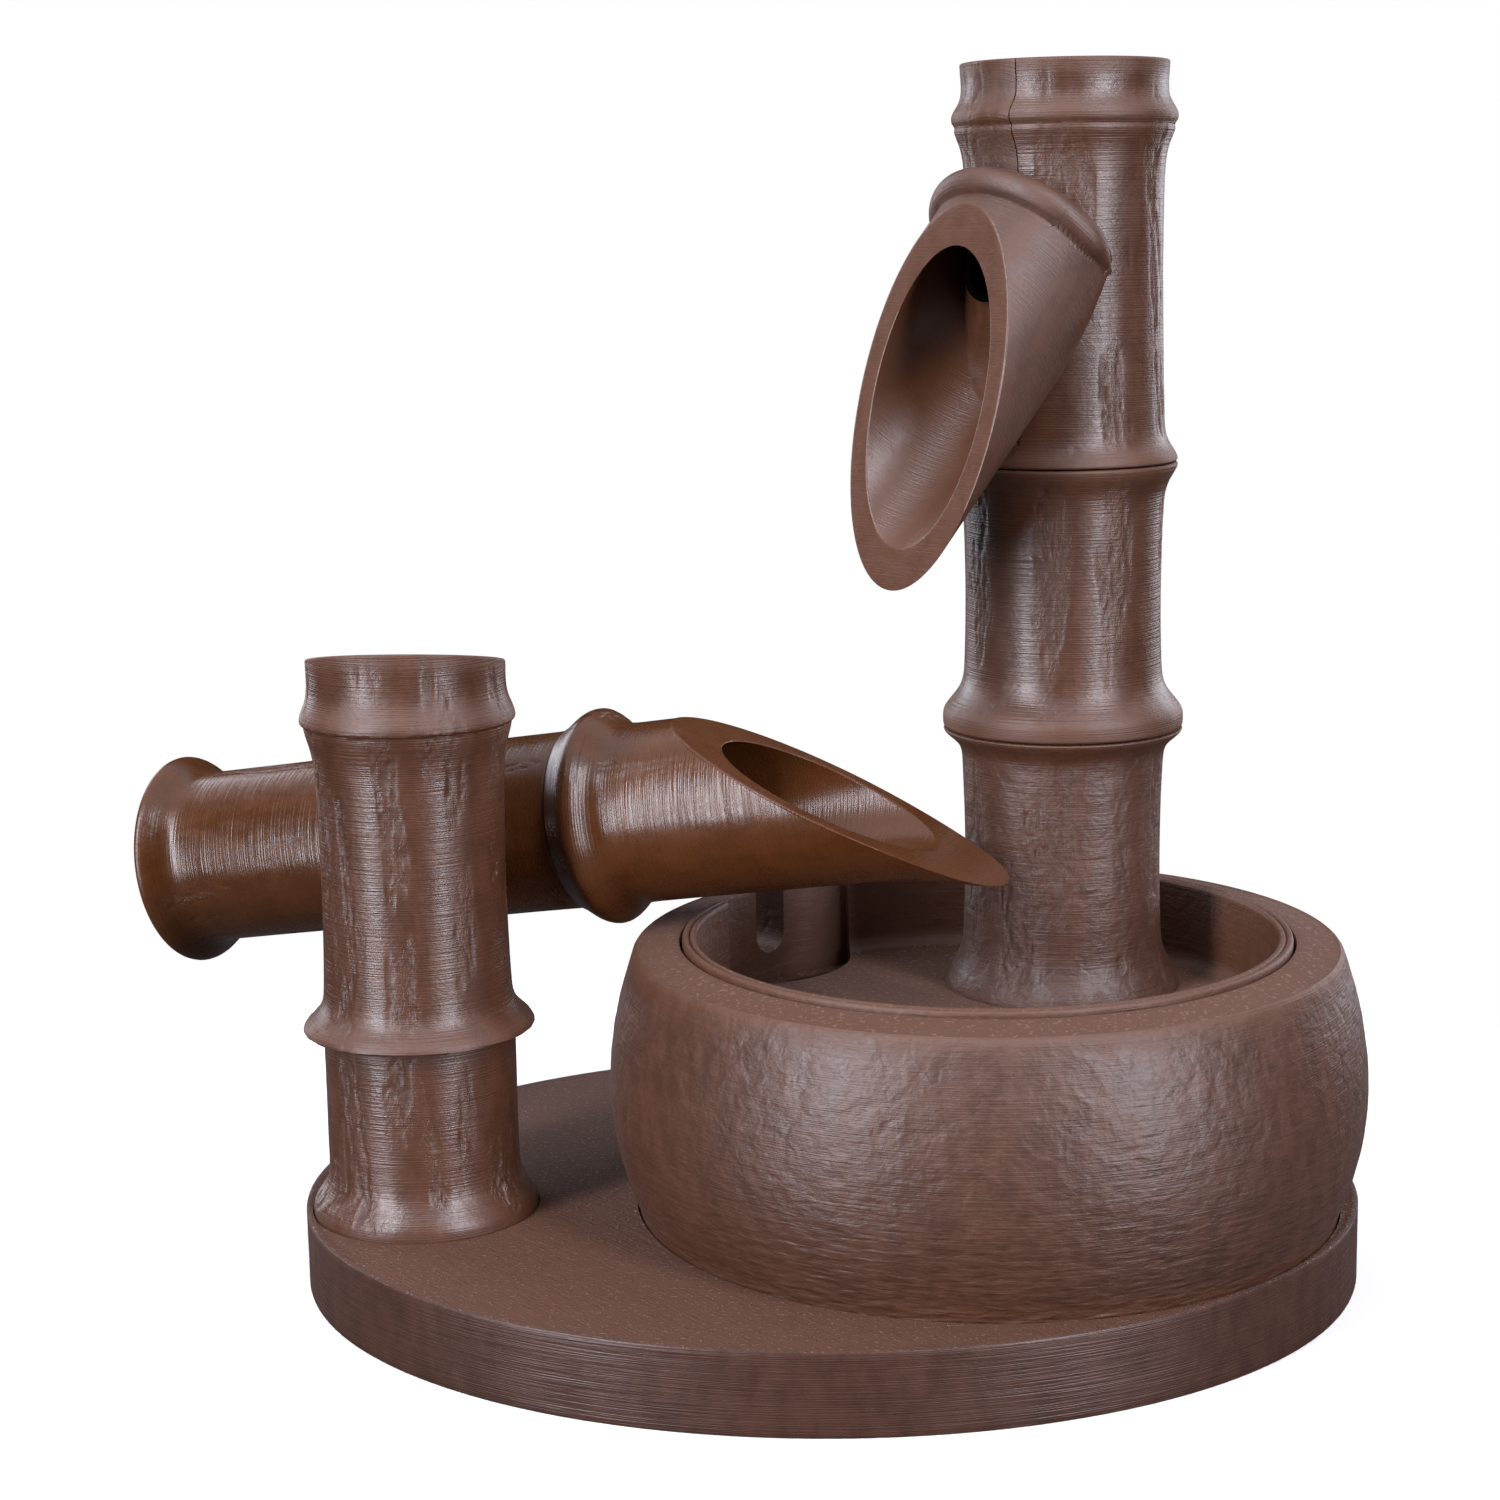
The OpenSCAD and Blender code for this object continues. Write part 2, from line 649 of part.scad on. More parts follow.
// Suction cups, each with its stem in the housing
module suction_cups() color([0.75, 0.78, 0.8]) at_pump() cup_places() {
    translate([0, 0, reservoir_z]) difference() {
        cylinder(r1 = 3.8, r2 = 1.9, h = cup_h, $fn = 32);
        translate([0, 0, -1]) cylinder(r1 = 3.6, r2 = 1, h = 2.2, $fn = 32);
    }
    translate([0, 0, pump_z - 0.5]) cylinder(r = stem_r, h = stem_r, $fn = 24);
}

// Slot places across the intake cover
module slot_places() for (i = [0:cover_slots - 1])
    translate([0, pump_mid_y - slot_shift + (i - (cover_slots - 1) / 2) * slot_pitch, rotor_z])
        children();

// Intake cover: a shallow box with upright slots, and two rails for the slider
module pump_cover() color([0.16, 0.17, 0.19]) at_pump() {
    face = pump_front - cover_l;
    rail_x = face - slider_t - 2 * slider_gap;
    difference() {
        pump_block(face, pump_front);
        pump_block(face + pump_skin, pump_front + 1, pump_skin);
        slot_places() translate([face - 1, -slot_gap_w / 2, -slot_tall / 2])
            cube([pump_skin + 2, slot_gap_w, slot_tall]);
    }
    for (s = [-1, 1]) translate([0, pump_mid_y, rotor_z + s * (slider_tall / 2 + rail_t / 2 + slider_gap)]) {
        translate([rail_x, -pump_w / 2 + rail_inset, -rail_t / 2])
            cube([face - rail_x, pump_w - 2 * rail_inset, rail_t]);
        translate([rail_x - rail_lip, -pump_w / 2 + rail_inset, -rail_t / 2 - (s > 0 ? 1 : 0)])
            cube([rail_lip, pump_w - 2 * rail_inset, rail_t + 1]);
    }
}

// Slider that covers the slots when it is pushed across
module flow_slider() color([0.2, 0.42, 0.62]) at_pump() {
    face = pump_front - cover_l - slider_gap;
    span = (cover_slots - 1) * slot_pitch + slot_gap_w + 3;
    difference() {
        translate([face - slider_t, pump_mid_y - slot_shift - span / 2, rotor_z - slider_tall / 2])
            cube([slider_t, span, slider_tall]);
        slot_places() translate([face - slider_t - 1, -slot_gap_w / 2, -slot_tall / 2])
            cube([slider_t + 2, slot_gap_w, slot_tall]);
    }
    translate([face - slider_t - slider_tab, pump_mid_y - slot_shift - span / 2, rotor_z - 3])
        cube([slider_tab + 0.1, 1.3, 6]);
}

// Plate with the eye that closes the pump chamber, and the shaft's front seat
module impeller_plate() color([0.3, 0.31, 0.33]) at_pump() {
    difference() {
        union() {
            difference() {
                rotorwise(pump_front, pump_front + plate_thick, seat_r - plug_gap);
                rotorwise(pump_front - 1, pump_front + plate_thick + 1, eye_r);
            }
            rotorwise(pump_front, pump_front + plate_thick, eye_hub_r);
            for (a = [90, 210, 330]) translate([pump_front, pump_mid_y, rotor_z])
                rotate([a, 0, 0]) translate([0, -spoke_w / 2, 0])
                    cube([plate_thick, spoke_w, eye_r + 0.8]);
        }
        rotorwise(pump_front + 0.5, pump_front + plate_thick + 1, shaft_r);
    }
}

// Flat seal behind the plate
module pump_seal() color("black") at_pump() difference() {
    rotorwise(pump_front + plate_thick, pump_front + plate_thick + seal_t, seat_r - plug_gap);
    rotorwise(pump_front, chamber_back, chamber_r + 0.1);
}

// Impeller: straight blades on a back disc, and the neck that carries the magnet
module impeller() color("white") at_pump() {
    front = pump_front + plate_thick + seal_t + 0.4;
    back = chamber_back - 0.6;
    difference() {
        union() {
            rotorwise(back - 1, back, wheel_r);
            rotorwise(front, chamber_back + 0.6, wheel_hub_r);
            for (i = [0:blades - 1]) translate([0, pump_mid_y, rotor_z])
                rotate([360 / blades * i, 0, 0]) translate([front, -blade_t / 2, 0])
                    cube([back - front - blade_t / 2, blade_t, wheel_r - 0.3]);
        }
        rotorwise(front - 1, chamber_back + 2, shaft_r + run_gap);
    }
}

// Magnet that turns in the rotor well
module rotor_magnet() color([0.25, 0.25, 0.27]) at_pump() difference() {
    rotorwise(chamber_back + 0.6, well_end - 1.8, magnet_r);
    rotorwise(chamber_back, well_end, shaft_r + run_gap);
}

// Ceramic shaft between its seat in the plate and its seat in the well
module impeller_shaft() color("ivory") at_pump()
    rotorwise(pump_front + 0.5, well_end - 0.4, shaft_r);

// Stator: a core plate round the rotor well, and the ring winding behind it
module stator() color([0.55, 0.35, 0.2]) at_pump() {
    from = chamber_back + 2.2;
    difference() {
        union() {
            pump_block(from, from + 5, pump_skin + 0.1);
            rotorwise(from + 5, well_end, pump_h / 2 - pump_skin - 0.3, 72);
        }
        rotorwise(from - 1, well_end + 1, well_r + well_wall + 0.1);
    }
}

// Rear cap, with the hole for the gland
module pump_end_cap() color([0.16, 0.17, 0.19]) at_pump() difference() {
    pump_block(pump_back, pump_back + cap_plate_t);
    translate([pump_back - 1, gland_y, gland_z]) rotate([0, 90, 0])
        cylinder(r = gland_r, h = cap_plate_t + 2, $fn = bore_fn);
}

// Grommet that the lead leaves by
module cable_gland() color("black") at_pump() translate([pump_back, gland_y, gland_z])
    rotate([0, 90, 0]) difference() {
        union() {
            cylinder(r = gland_r, h = cap_plate_t + 1, $fn = bore_fn);
            translate([0, 0, cap_plate_t]) cylinder(r1 = gland_r + 1, r2 = gland_r - 0.2, h = 5, $fn = bore_fn);
        }
        translate([0, 0, 1]) cylinder(r = lead_r, h = 12, $fn = bore_fn);
    }

// Nozzle between the pump and the hose
module outlet_nozzle() color([0.3, 0.31, 0.33]) at_pump() difference() {
    union() {
        translate([0, 0, pump_top_z - stub_l])
            cylinder(r = hose_bore_r, h = nozzle_l + stub_l, $fn = bore_fn);
        translate([0, 0, pump_top_z]) cylinder(r = flange_r, h = flange_t, $fn = bore_fn);
    }
    translate([0, 0, pump_top_z - 3]) cylinder(r = outlet_r, h = nozzle_l + 4, $fn = bore_fn);
}

base_plate();
bowl();
basin();
column_middle();
column_top();
spout();
post();
rocker_tail();
rocker_scoop();
tail_plug();
rocker_ballast();
pivot_sleeve();
pivot_pin();
pivot_washer();
pin_cap();
stop_peg();
riser_hose();
pump_housing();
pump_cover();
flow_slider();
impeller_plate();
pump_seal();
impeller();
rotor_magnet();
impeller_shaft();
stator();
pump_end_cap();
cable_gland();
outlet_nozzle();
suction_cups();
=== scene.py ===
# %% [markdown]
# # A tabletop bamboo fountain, printed in brown plastic
# An oval plate carries a bellied bowl and a bamboo post. A basin with a bamboo column drops
# into the bowl, a slanted spout leaves the column, and a rocking scoop hangs behind the post.
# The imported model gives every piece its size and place, so this script only loads it and
# dresses it: bark on the bamboo, dents on the bowl, printed layers, and the light.

# %% Load the model as a fixed frame
import json
import math
import bpy
import numpy as np
from mathutils import Matrix, Vector


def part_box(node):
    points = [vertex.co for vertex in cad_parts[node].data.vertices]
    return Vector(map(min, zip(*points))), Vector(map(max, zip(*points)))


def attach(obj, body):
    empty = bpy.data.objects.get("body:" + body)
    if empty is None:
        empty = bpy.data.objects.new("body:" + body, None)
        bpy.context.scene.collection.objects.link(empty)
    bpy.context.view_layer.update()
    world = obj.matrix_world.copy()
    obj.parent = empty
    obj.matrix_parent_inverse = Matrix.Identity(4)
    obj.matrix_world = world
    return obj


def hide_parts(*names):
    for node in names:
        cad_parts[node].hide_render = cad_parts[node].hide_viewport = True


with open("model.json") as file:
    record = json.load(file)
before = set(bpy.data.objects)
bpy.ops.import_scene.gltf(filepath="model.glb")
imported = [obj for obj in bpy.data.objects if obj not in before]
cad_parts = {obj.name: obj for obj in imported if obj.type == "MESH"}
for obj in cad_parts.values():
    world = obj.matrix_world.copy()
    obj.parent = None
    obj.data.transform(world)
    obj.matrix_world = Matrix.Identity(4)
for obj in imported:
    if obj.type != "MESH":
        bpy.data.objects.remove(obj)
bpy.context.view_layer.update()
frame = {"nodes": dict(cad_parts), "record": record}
MM = 0.001
print("pieces in the frame:", len(frame["nodes"]))

# %% [markdown]
# ## The camera
# The photograph looks slightly down on the fountain from the front. A long lens keeps the
# column's sides almost parallel, and the camera leans by one degree, so the column stands
# upright in the picture although it is right of the middle.

# %% Camera at the photograph's place
CAMERA_AT = (8.3, -463.4, 175.2)
HEADING, PITCH, LEAN = math.radians(-2.55), math.radians(10.52), math.radians(-1.0)
LENS, NEAREST = 67.56, 0.01

ahead = Vector((math.sin(HEADING) * math.cos(PITCH), math.cos(HEADING) * math.cos(PITCH),
                -math.sin(PITCH)))
level = Vector((math.cos(HEADING), -math.sin(HEADING), 0))
over = level.cross(ahead)
right = level * math.cos(LEAN) + over * math.sin(LEAN)
upward = over * math.cos(LEAN) - level * math.sin(LEAN)
camera = bpy.data.objects.new("camera", bpy.data.cameras.new("camera"))
turn = Matrix((right, upward, -ahead)).transposed()
camera.matrix_world = Matrix.Translation(Vector(CAMERA_AT) * MM) @ turn.to_4x4()
camera.data.lens = LENS
camera.data.clip_start = NEAREST
bpy.context.scene.collection.objects.link(camera)
bpy.context.scene.camera = camera
print("lens", LENS, "mm, from", CAMERA_AT)

# %% [markdown]
# ## Maths on sockets
# One small class wraps a socket, so that Python's own operators add the Math nodes which the
# trees for shape and for colour need. With the reflected forms, 1 - mask works too.

# %% A wrapped socket
def maths(operation):
    """A method that adds a Math node of an operation."""
    def method(self, *others):
        sockets = dict(enumerate((self, *others)))
        return self.tree.add("ShaderNodeMath", {"operation": operation}, sockets)
    return method


class Field:
    """A socket whose + - * add Math nodes to its tree."""
    __add__ = __radd__ = maths("ADD")
    __mul__ = __rmul__ = maths("MULTIPLY")
    __sub__, least, size = maths("SUBTRACT"), maths("MINIMUM"), maths("ABSOLUTE")

    def __init__(self, tree, socket):
        self.tree, self.socket = tree, socket

    def __rsub__(self, other):
        return (self * -1.0) + other


print("fields know + - *, least and size")

# %% [markdown]
# ## Trees of nodes
# One method adds any node: its type first, then its settings, then the values or links of its
# sockets. Noise is the source of every pattern here, and stretching the coordinates before it
# decides whether its lumps are round, long or flat.

# %% A tree that adds nodes
class Tree:
    """A node tree that nodes are added to by type, settings and sockets."""

    def __init__(self, nodes):
        self.nodes = nodes

    def feed(self, node, sockets):
        """Links a node's sockets to fields, or gives them plain values."""
        for key, value in sockets.items():
            if isinstance(value, Field):
                self.nodes.links.new(value.socket, node.inputs[key])
            else:
                node.inputs[key].default_value = value

    def add(self, kind, settings=None, sockets=None, out=0):
        node = self.nodes.nodes.new(kind)
        for name, value in (settings or {}).items():
            setattr(node, name, value)
        self.feed(node, sockets or {})
        return Field(self, node.outputs[out])

    def smooth(self, value, low, high):
        """0 below low, 1 above high, and an eased step between them."""
        return self.add("ShaderNodeMapRange", {"interpolation_type": "SMOOTHSTEP"},
                        {"Value": value, "From Min": low, "From Max": high})

    def line(self, value, width):
        """1 where a noise crosses its middle value, and 0 further off than the width."""
        return 1.0 - self.smooth((value - 0.5).size(), 0.0, width)

    def stretched(self, vector, scale):
        return self.add("ShaderNodeVectorMath", {"operation": "MULTIPLY"},
                        {0: vector, 1: scale})

    def upright(self, vector):
        """The height in a vector."""
        return self.add("ShaderNodeSeparateXYZ", None, {0: vector}, out="Z")

    def noise(self, vector, scale, detail=3.0, rough=0.5, warp=0.0):
        """Noise between 0 and 1 whose lumps are about 1/scale across."""
        return self.add("ShaderNodeTexNoise", {"noise_dimensions": "3D"},
                        {"Vector": vector, "Scale": scale, "Detail": detail,
                         "Roughness": rough, "Distortion": warp})


print("a tree adds nodes and feeds them")

# %% [markdown]
# ## Outlines that turn into pieces
# Every bamboo piece is a tube round an axis that swells at its nodes, with ends cut square,
# slanted, or to fit another tube. So it is made as columns of points, one for each direction
# round the axis, which run along the outside, over the rim and back along the inside.

# %% Swellings, even rows and rounded corners
SWELL = 0.8


def bump(z, at, height, up, down):
    """The same fading bump as on the solids, of a height, wider above or below."""
    z = np.asarray(z, float)
    return height * np.exp(-(((z - at) / np.where(z >= at, up, down)) ** 2))


def waisted(z, low, high, radius):
    """Radius of a bamboo section between two heights: waisted in the middle."""
    return radius + SWELL * ((2 * np.asarray(z, float) - low - high) / (high - low)) ** 2


def rows_between(low, high, step):
    """Heights from low to high, no more than step apart; low and high may be arrays."""
    count = max(2, int(math.ceil(np.max(np.abs(np.asarray(high) - low)) / step)) + 1)
    t = np.linspace(0, 1, count)[:, None]
    return np.asarray(low) + (np.asarray(high) - low) * t


def corner(a, b, c, radius, count=4):
    """Points of a rounded corner at b between the neighbours a and c; arrays of (r, z)."""
    def unit(v):
        return v / np.maximum(np.linalg.norm(v, axis=-1, keepdims=True), 1e-9)
    start, end = b + unit(a - b) * radius, b + unit(c - b) * radius
    t = np.linspace(0, 1, count)[:, None, None]
    return start * (1 - t) ** 2 + b * 2 * t * (1 - t) + end * t ** 2


print("a section swells by", SWELL, "mm towards its ends")

# %% [markdown]
# ## Skins from columns
# Joining neighbouring columns gives a closed mesh of even squares. A plain tube that is cut
# would have slivers at its rim. Two attributes go with the points: own is the place in the
# piece's own frame, and relief says how much of the bark a point takes.

# %% Mesh objects
SHARP, CUT_SHARP = 40, 35


def smooth(mesh, degrees):
    """Shades a mesh smooth except at edges that are sharper than an angle."""
    mesh.polygons.foreach_set("use_smooth", np.ones(len(mesh.polygons), bool))
    mesh.set_sharp_from_angle(angle=math.radians(degrees))


def mesh_object(name, points, faces):
    """A mesh object at the origin; points in metres."""
    mesh = bpy.data.meshes.new(name)
    mesh.from_pydata(points, [], faces)
    mesh.update()
    smooth(mesh, SHARP)
    obj = bpy.data.objects.new(name, mesh)
    bpy.context.scene.collection.objects.link(obj)
    return obj


def turn_out(obj):
    """Turns an inside-out skin the right way, by the sign of its volume."""
    mesh = obj.data
    mesh.calc_loop_triangles()
    corners = np.empty(len(mesh.loop_triangles) * 3, np.int32)
    mesh.loop_triangles.foreach_get("vertices", corners)
    at = np.empty(len(mesh.vertices) * 3)
    mesh.vertices.foreach_get("co", at)
    a, b, c = (at.reshape(-1, 3)[corners.reshape(-1, 3)[:, i]] for i in range(3))
    if np.einsum("ij,ij->i", a, np.cross(b, c)).sum() < 0:
        mesh.flip_normals()
    return obj


print("skins are smooth up to", SHARP, "degrees")

# %% Skins from columns
def columns(name, rows, place, masks=None, closed=True, squash=None):
    """A closed skin from rows of (r, z) round the z axis, in millimetres, put in its place.
    rows has the shape (rows, directions, 2). With closed, the last row joins the first;
    otherwise the first and last row are points on the axis. masks says, for each row,
    how much relief it takes, and squash turns (angle, r) into x and y."""
    count, seg = rows.shape[:2]
    angle = np.arange(seg) * 2 * math.pi / seg
    x, y = rows[..., 0] * np.cos(angle), rows[..., 0] * np.sin(angle)
    if squash is not None:
        x, y = squash(angle, rows[..., 0])
    own = np.stack([x, y, rows[..., 1]], axis=-1).reshape(-1, 3)
    relief = np.repeat(np.zeros(count) if masks is None else np.asarray(masks, float), seg)
    ring = np.arange(count * seg).reshape(count, seg)
    low, high = ring, np.roll(ring, -1, axis=0)
    if not closed:
        kept = np.r_[0, seg:(count - 1) * seg, (count - 1) * seg]
        own, relief, ring = own[kept], relief[kept], ring[:-2] + 1
        low, high = ring[:-1], ring[1:]
    along = [low, np.roll(low, -1, 1), np.roll(high, -1, 1), high]
    faces = np.stack([a.reshape(-1) for a in along], axis=1).tolist()
    if not closed:
        last = len(own) - 1
        faces += [[0, b, a] for a, b in zip(ring[0], np.roll(ring[0], -1))]
        faces += [[last, a, b] for a, b in zip(ring[-1], np.roll(ring[-1], -1))]
    place = np.array(place)
    obj = mesh_object(name, ((own @ place[:3, :3].T + place[:3, 3]) * MM).tolist(), faces)
    for label, kind, key, values in (("own", "FLOAT_VECTOR", "vector", own),
                                     ("relief", "FLOAT", "value", relief)):
        layer = obj.data.attributes.new(label, kind, "POINT")
        layer.data.foreach_set(key, values.reshape(-1))
    return turn_out(obj)


def revolve(name, outline, place, seg, masks=None, squash=None):
    """A closed skin from one outline of (r, z) that starts and ends on the axis."""
    rows = np.repeat(np.array(outline, float)[:, None, :], seg, 1)
    return columns(name, rows, place, masks, False, squash)


print("columns and revolved outlines make skins")

# %% [markdown]
# ## Growing relief
# A Geometry Nodes tree adds relief to a skin by moving its points. Its sizes are named inputs,
# so one tree serves every bamboo piece. Afterwards the evaluated mesh takes the place of the
# old one, so that a finished piece is plain mesh.

# %% Trees with named sizes
def relief_tree(name, sizes):
    """A Geometry Nodes tree with named sizes; returns the tree, its fields and its exit."""
    group = bpy.data.node_groups.new(name, "GeometryNodeTree")
    face = group.interface
    face.new_socket("Geometry", in_out="OUTPUT", socket_type="NodeSocketGeometry")
    face.new_socket("Geometry", in_out="INPUT", socket_type="NodeSocketGeometry")
    for label, value in sizes.items():
        face.new_socket(label, in_out="INPUT", socket_type="NodeSocketFloat").default_value = value
    face.new_socket("Finish", in_out="INPUT", socket_type="NodeSocketMaterial")
    tree = Tree(group)
    enter, leave = group.nodes.new("NodeGroupInput"), group.nodes.new("NodeGroupOutput")
    fields = {s.name: Field(tree, s) for s in enter.outputs if s.name}
    return tree, fields, leave


def named(tree, name, kind="FLOAT"):
    """An attribute of the points, by its name."""
    return tree.add("GeometryNodeInputNamedAttribute", {"data_type": kind}, {"Name": name})


def sunk(tree, geometry, depth):
    """The geometry with each point moved inwards by a depth in millimetres."""
    along = tree.add("GeometryNodeInputNormal")
    offset = tree.add("ShaderNodeVectorMath", {"operation": "SCALE"},
                      {0: along, "Scale": depth * -MM})
    return tree.add("GeometryNodeSetPosition", None, {"Geometry": geometry, "Offset": offset})


def end_tree(tree, geometry, fields, leave):
    real = tree.add("GeometryNodeRealizeInstances", None, {0: geometry})
    done = tree.add("GeometryNodeSetMaterial", None,
                    {"Geometry": real, "Material": fields["Finish"]})
    tree.feed(leave, {0: done})


print("relief is sunk along the normals")

# %% Growing and settling
def settle(obj):
    """Puts the evaluated mesh in the object and takes its modifiers off."""
    bpy.context.view_layer.update()
    graph = bpy.context.evaluated_depsgraph_get()
    mesh = bpy.data.meshes.new_from_object(obj.evaluated_get(graph), depsgraph=graph,
                                           preserve_all_data_layers=True)
    obj.modifiers.clear()
    before = obj.data
    obj.data = mesh
    bpy.data.meshes.remove(before)
    mesh.name = obj.name
    return obj


def grow(obj, group, finish, sizes=None):
    """Runs a tree on an object, with its sizes set before it is first evaluated."""
    modifier = obj.modifiers.new(group.name, "NODES")
    modifier.node_group = group
    values = {**(sizes or {}), "Finish": finish}
    for item in group.interface.items_tree:
        if item.in_out == "INPUT" and item.name in values:
            modifier[item.identifier] = values[item.name]
    return settle(obj)


def tell(obj):
    """Prints how many faces a piece has."""
    print(obj.name + ":", len(obj.data.polygons), "faces")


print("grown pieces are plain mesh")

# %% [markdown]
# ## Cutting and joining
# Slots, bores and seats are cut with a Boolean, because they cross the columns at an angle.
# The cutting tools are plain drums and blocks, made a little longer than what they cut, so
# that no two faces lie in one plane.

# %% Booleans and their tools
DRUM_SIDES = 96


def cut(obj, tool, operation="DIFFERENCE"):
    """A Boolean of two closed skins; the tool is used up."""
    modifier = obj.modifiers.new("cut", "BOOLEAN")
    modifier.operation, modifier.solver, modifier.object = operation, "MANIFOLD", tool
    smooth(settle(obj).data, CUT_SHARP)
    used_up = tool.data
    bpy.data.objects.remove(tool)
    bpy.data.meshes.remove(used_up)
    return obj


def drum(name, radius, low, high, place, seg=DRUM_SIDES):
    """A plain closed cylinder, to cut or join with."""
    return revolve(name, [(0, low), (radius, low), (radius, high), (0, high)], place, seg)


def block(name, low, high, place):
    """A plain closed box between two corners, to cut with."""
    (a, b, c), (d, e, f) = low, high
    own = [Vector(v) for v in ((a, b, c), (d, b, c), (d, e, c), (a, e, c),
                               (a, b, f), (d, b, f), (d, e, f), (a, e, f))]
    faces = [(0, 3, 2, 1), (4, 5, 6, 7), (0, 1, 5, 4), (1, 2, 6, 5), (2, 3, 7, 6), (3, 0, 4, 7)]
    return mesh_object(name, [tuple((place @ v) * MM) for v in own], faces)


def at(x, y, z=0.0):
    return Matrix.Translation((x, y, z))


def about(axis, degrees):
    return Matrix.Rotation(math.radians(degrees), 4, axis)


print("drums have", DRUM_SIDES, "sides")

# %% [markdown]
# ## Where the leaning pieces are
# The column, the post and the bowl stand upright, each on its own axis. The spout leaves the
# column at a slant, and the rocker hangs behind the post, turned and tilted. A place is a
# matrix, in millimetres, whose z axis runs along the piece.

# %% Places
COLUMN_AT, POST_AT, BOWL_AT = at(40.97, 17.17), at(-68.0, -11.0), at(26.7, -4.8)
SPOUT_TURN, SPOUT_DIP, SPOUT_Z = 223.5, 44.1, 179.0
SPOUT_AT = COLUMN_AT @ about("Z", SPOUT_TURN) @ at(0, 0, SPOUT_Z) @ about("Y", 90 + SPOUT_DIP)
ARM_TURN, ARM_TILT, ARM_OFF, PIVOT_Z = 19.8, 9.0, 34.4, 71.8
ARM_AT = (POST_AT @ about("Z", -ARM_TURN) @ at(0, ARM_OFF, PIVOT_Z)
          @ about("Y", 90 - ARM_TILT))
print("the rocker's pivot is at", tuple(round(v, 1) for v in ARM_AT.to_translation()))

# %% [markdown]
# ## Colours and coordinates
# A screen colour is turned into the linear colour that a shader reads. A Mapping node turns
# Object coordinates into millimetres in the piece's own frame, so a pattern lies across the
# piece however it leans, and it keeps its size.

# %% Helpers for finishes
def tone(red, green, blue):
    """A linear colour from the 0 to 255 values of a screen colour."""
    def line(v):
        v /= 255
        return v / 12.92 if v <= 0.04045 else ((v + 0.055) / 1.055) ** 2.4
    return (line(red), line(green), line(blue), 1)


def darker(colour, share):
    return tuple(c * share for c in colour[:3]) + (1,)


def own_frame(tree, place):
    """Object coordinates turned into millimetres in the frame of a place."""
    back = place.inverted()
    spot = tree.add("ShaderNodeTexCoord", out="Object")
    return tree.add("ShaderNodeMapping", {"vector_type": "POINT"},
                    {"Vector": spot, "Location": back.to_translation(),
                     "Rotation": back.to_euler("XYZ"), "Scale": (1 / MM,) * 3})


def blend(tree, factor, first, second):
    return tree.add("ShaderNodeMix", {"data_type": "RGBA"},
                    {0: factor, 6: first, 7: second}, out=2)


def new_finish(name):
    material = bpy.data.materials.new(name)
    material.use_nodes = True
    tree = Tree(material.node_tree)
    return material, tree, material.node_tree.nodes["Principled BSDF"]


# The crease colour is painted shade, for the wrinkles and the grooves of the bark.
# The speck colour is a painted glint, for the raised specks on level faces.
WARM, CREASE_SHADE, SPECK_GLINT = tone(98, 56, 28), tone(50, 26, 13), tone(150, 116, 96)
print("warm brown, linear:", [round(v, 3) for v in WARM[:3]])

# %% [markdown]
# ## Relief that is too fine for the mesh
# Near its foot the bowl's belly has level waves about a millimetre apart, with soft dents
# above. Faces that look up show the path of the printer's nozzle and small raised specks,
# and the specks are coloured lighter as a painted glint. The way a face looks is read from
# its normal, so one finish serves a piece's top and its side.

# %% Waves on the belly and marks on level faces
WAVE_SCALE, DENT_SCALE = (0.26, 0.26, 1.0), 0.38
WAVES_TO, DENTS_FROM = 12, 42
PATH_TURN, PATH_SCALE = 40, (2.2, 0.15, 0.1)
LEVEL, SPECKS = (0.8, 0.97), (0.58, 0.68)


def belly_waves(tree, own):
    """Level waves near the foot and soft dents above it, as a height."""
    foot = 1.0 - tree.smooth(tree.upright(own), WAVES_TO, DENTS_FROM)
    wave = tree.noise(tree.stretched(own, WAVE_SCALE), 0.85, detail=1.0, warp=0.4)
    dent = tree.noise(own, DENT_SCALE, detail=1.0, warp=0.5)
    return wave * (foot * 0.8 + 0.2) + dent * (0.6 - foot * 0.5)


def level_marks(tree, own, place):
    """How level a face is, and the tool's path and the specks on it as heights."""
    facing = tree.add("ShaderNodeNewGeometry", out="Normal")
    level = tree.smooth(tree.upright(facing), *LEVEL)
    across = own_frame(tree, place @ about("Z", PATH_TURN))
    path = tree.noise(tree.stretched(across, PATH_SCALE), 1.0, detail=1.0)
    speck = tree.smooth(tree.noise(own, 1.2, detail=1.0), *SPECKS)
    return level, path * level, speck * level


print("level waves fade out", DENTS_FROM, "mm above the table")

# %% [markdown]
# ## Brown plastic
# Everything is printed from one brown plastic. What differs is how the layers catch the
# light: level lines on the upright bamboo, lines across the rocker, and fine grain everywhere.
# The lines come from noise that is stretched to a stack of thin plates. Each plate tilts the
# light a little up or down, so a highlight is narrow across the bamboo and long along it.

# %% The printed finish
LAYER_RUN, BAND_SCALE = 0.07, (0.08, 0.08, 1.2)
GRAIN_SCALE, BLOTCH_SCALE, RIDGE_SCALE = (0.9, 0.9, 1.5), (1, 1, 0.5), (1, 1, 0.4)
DARKER, RIDGE_WIDTH, RIDGE_DEEP = 0.76, 0.08, 0.03


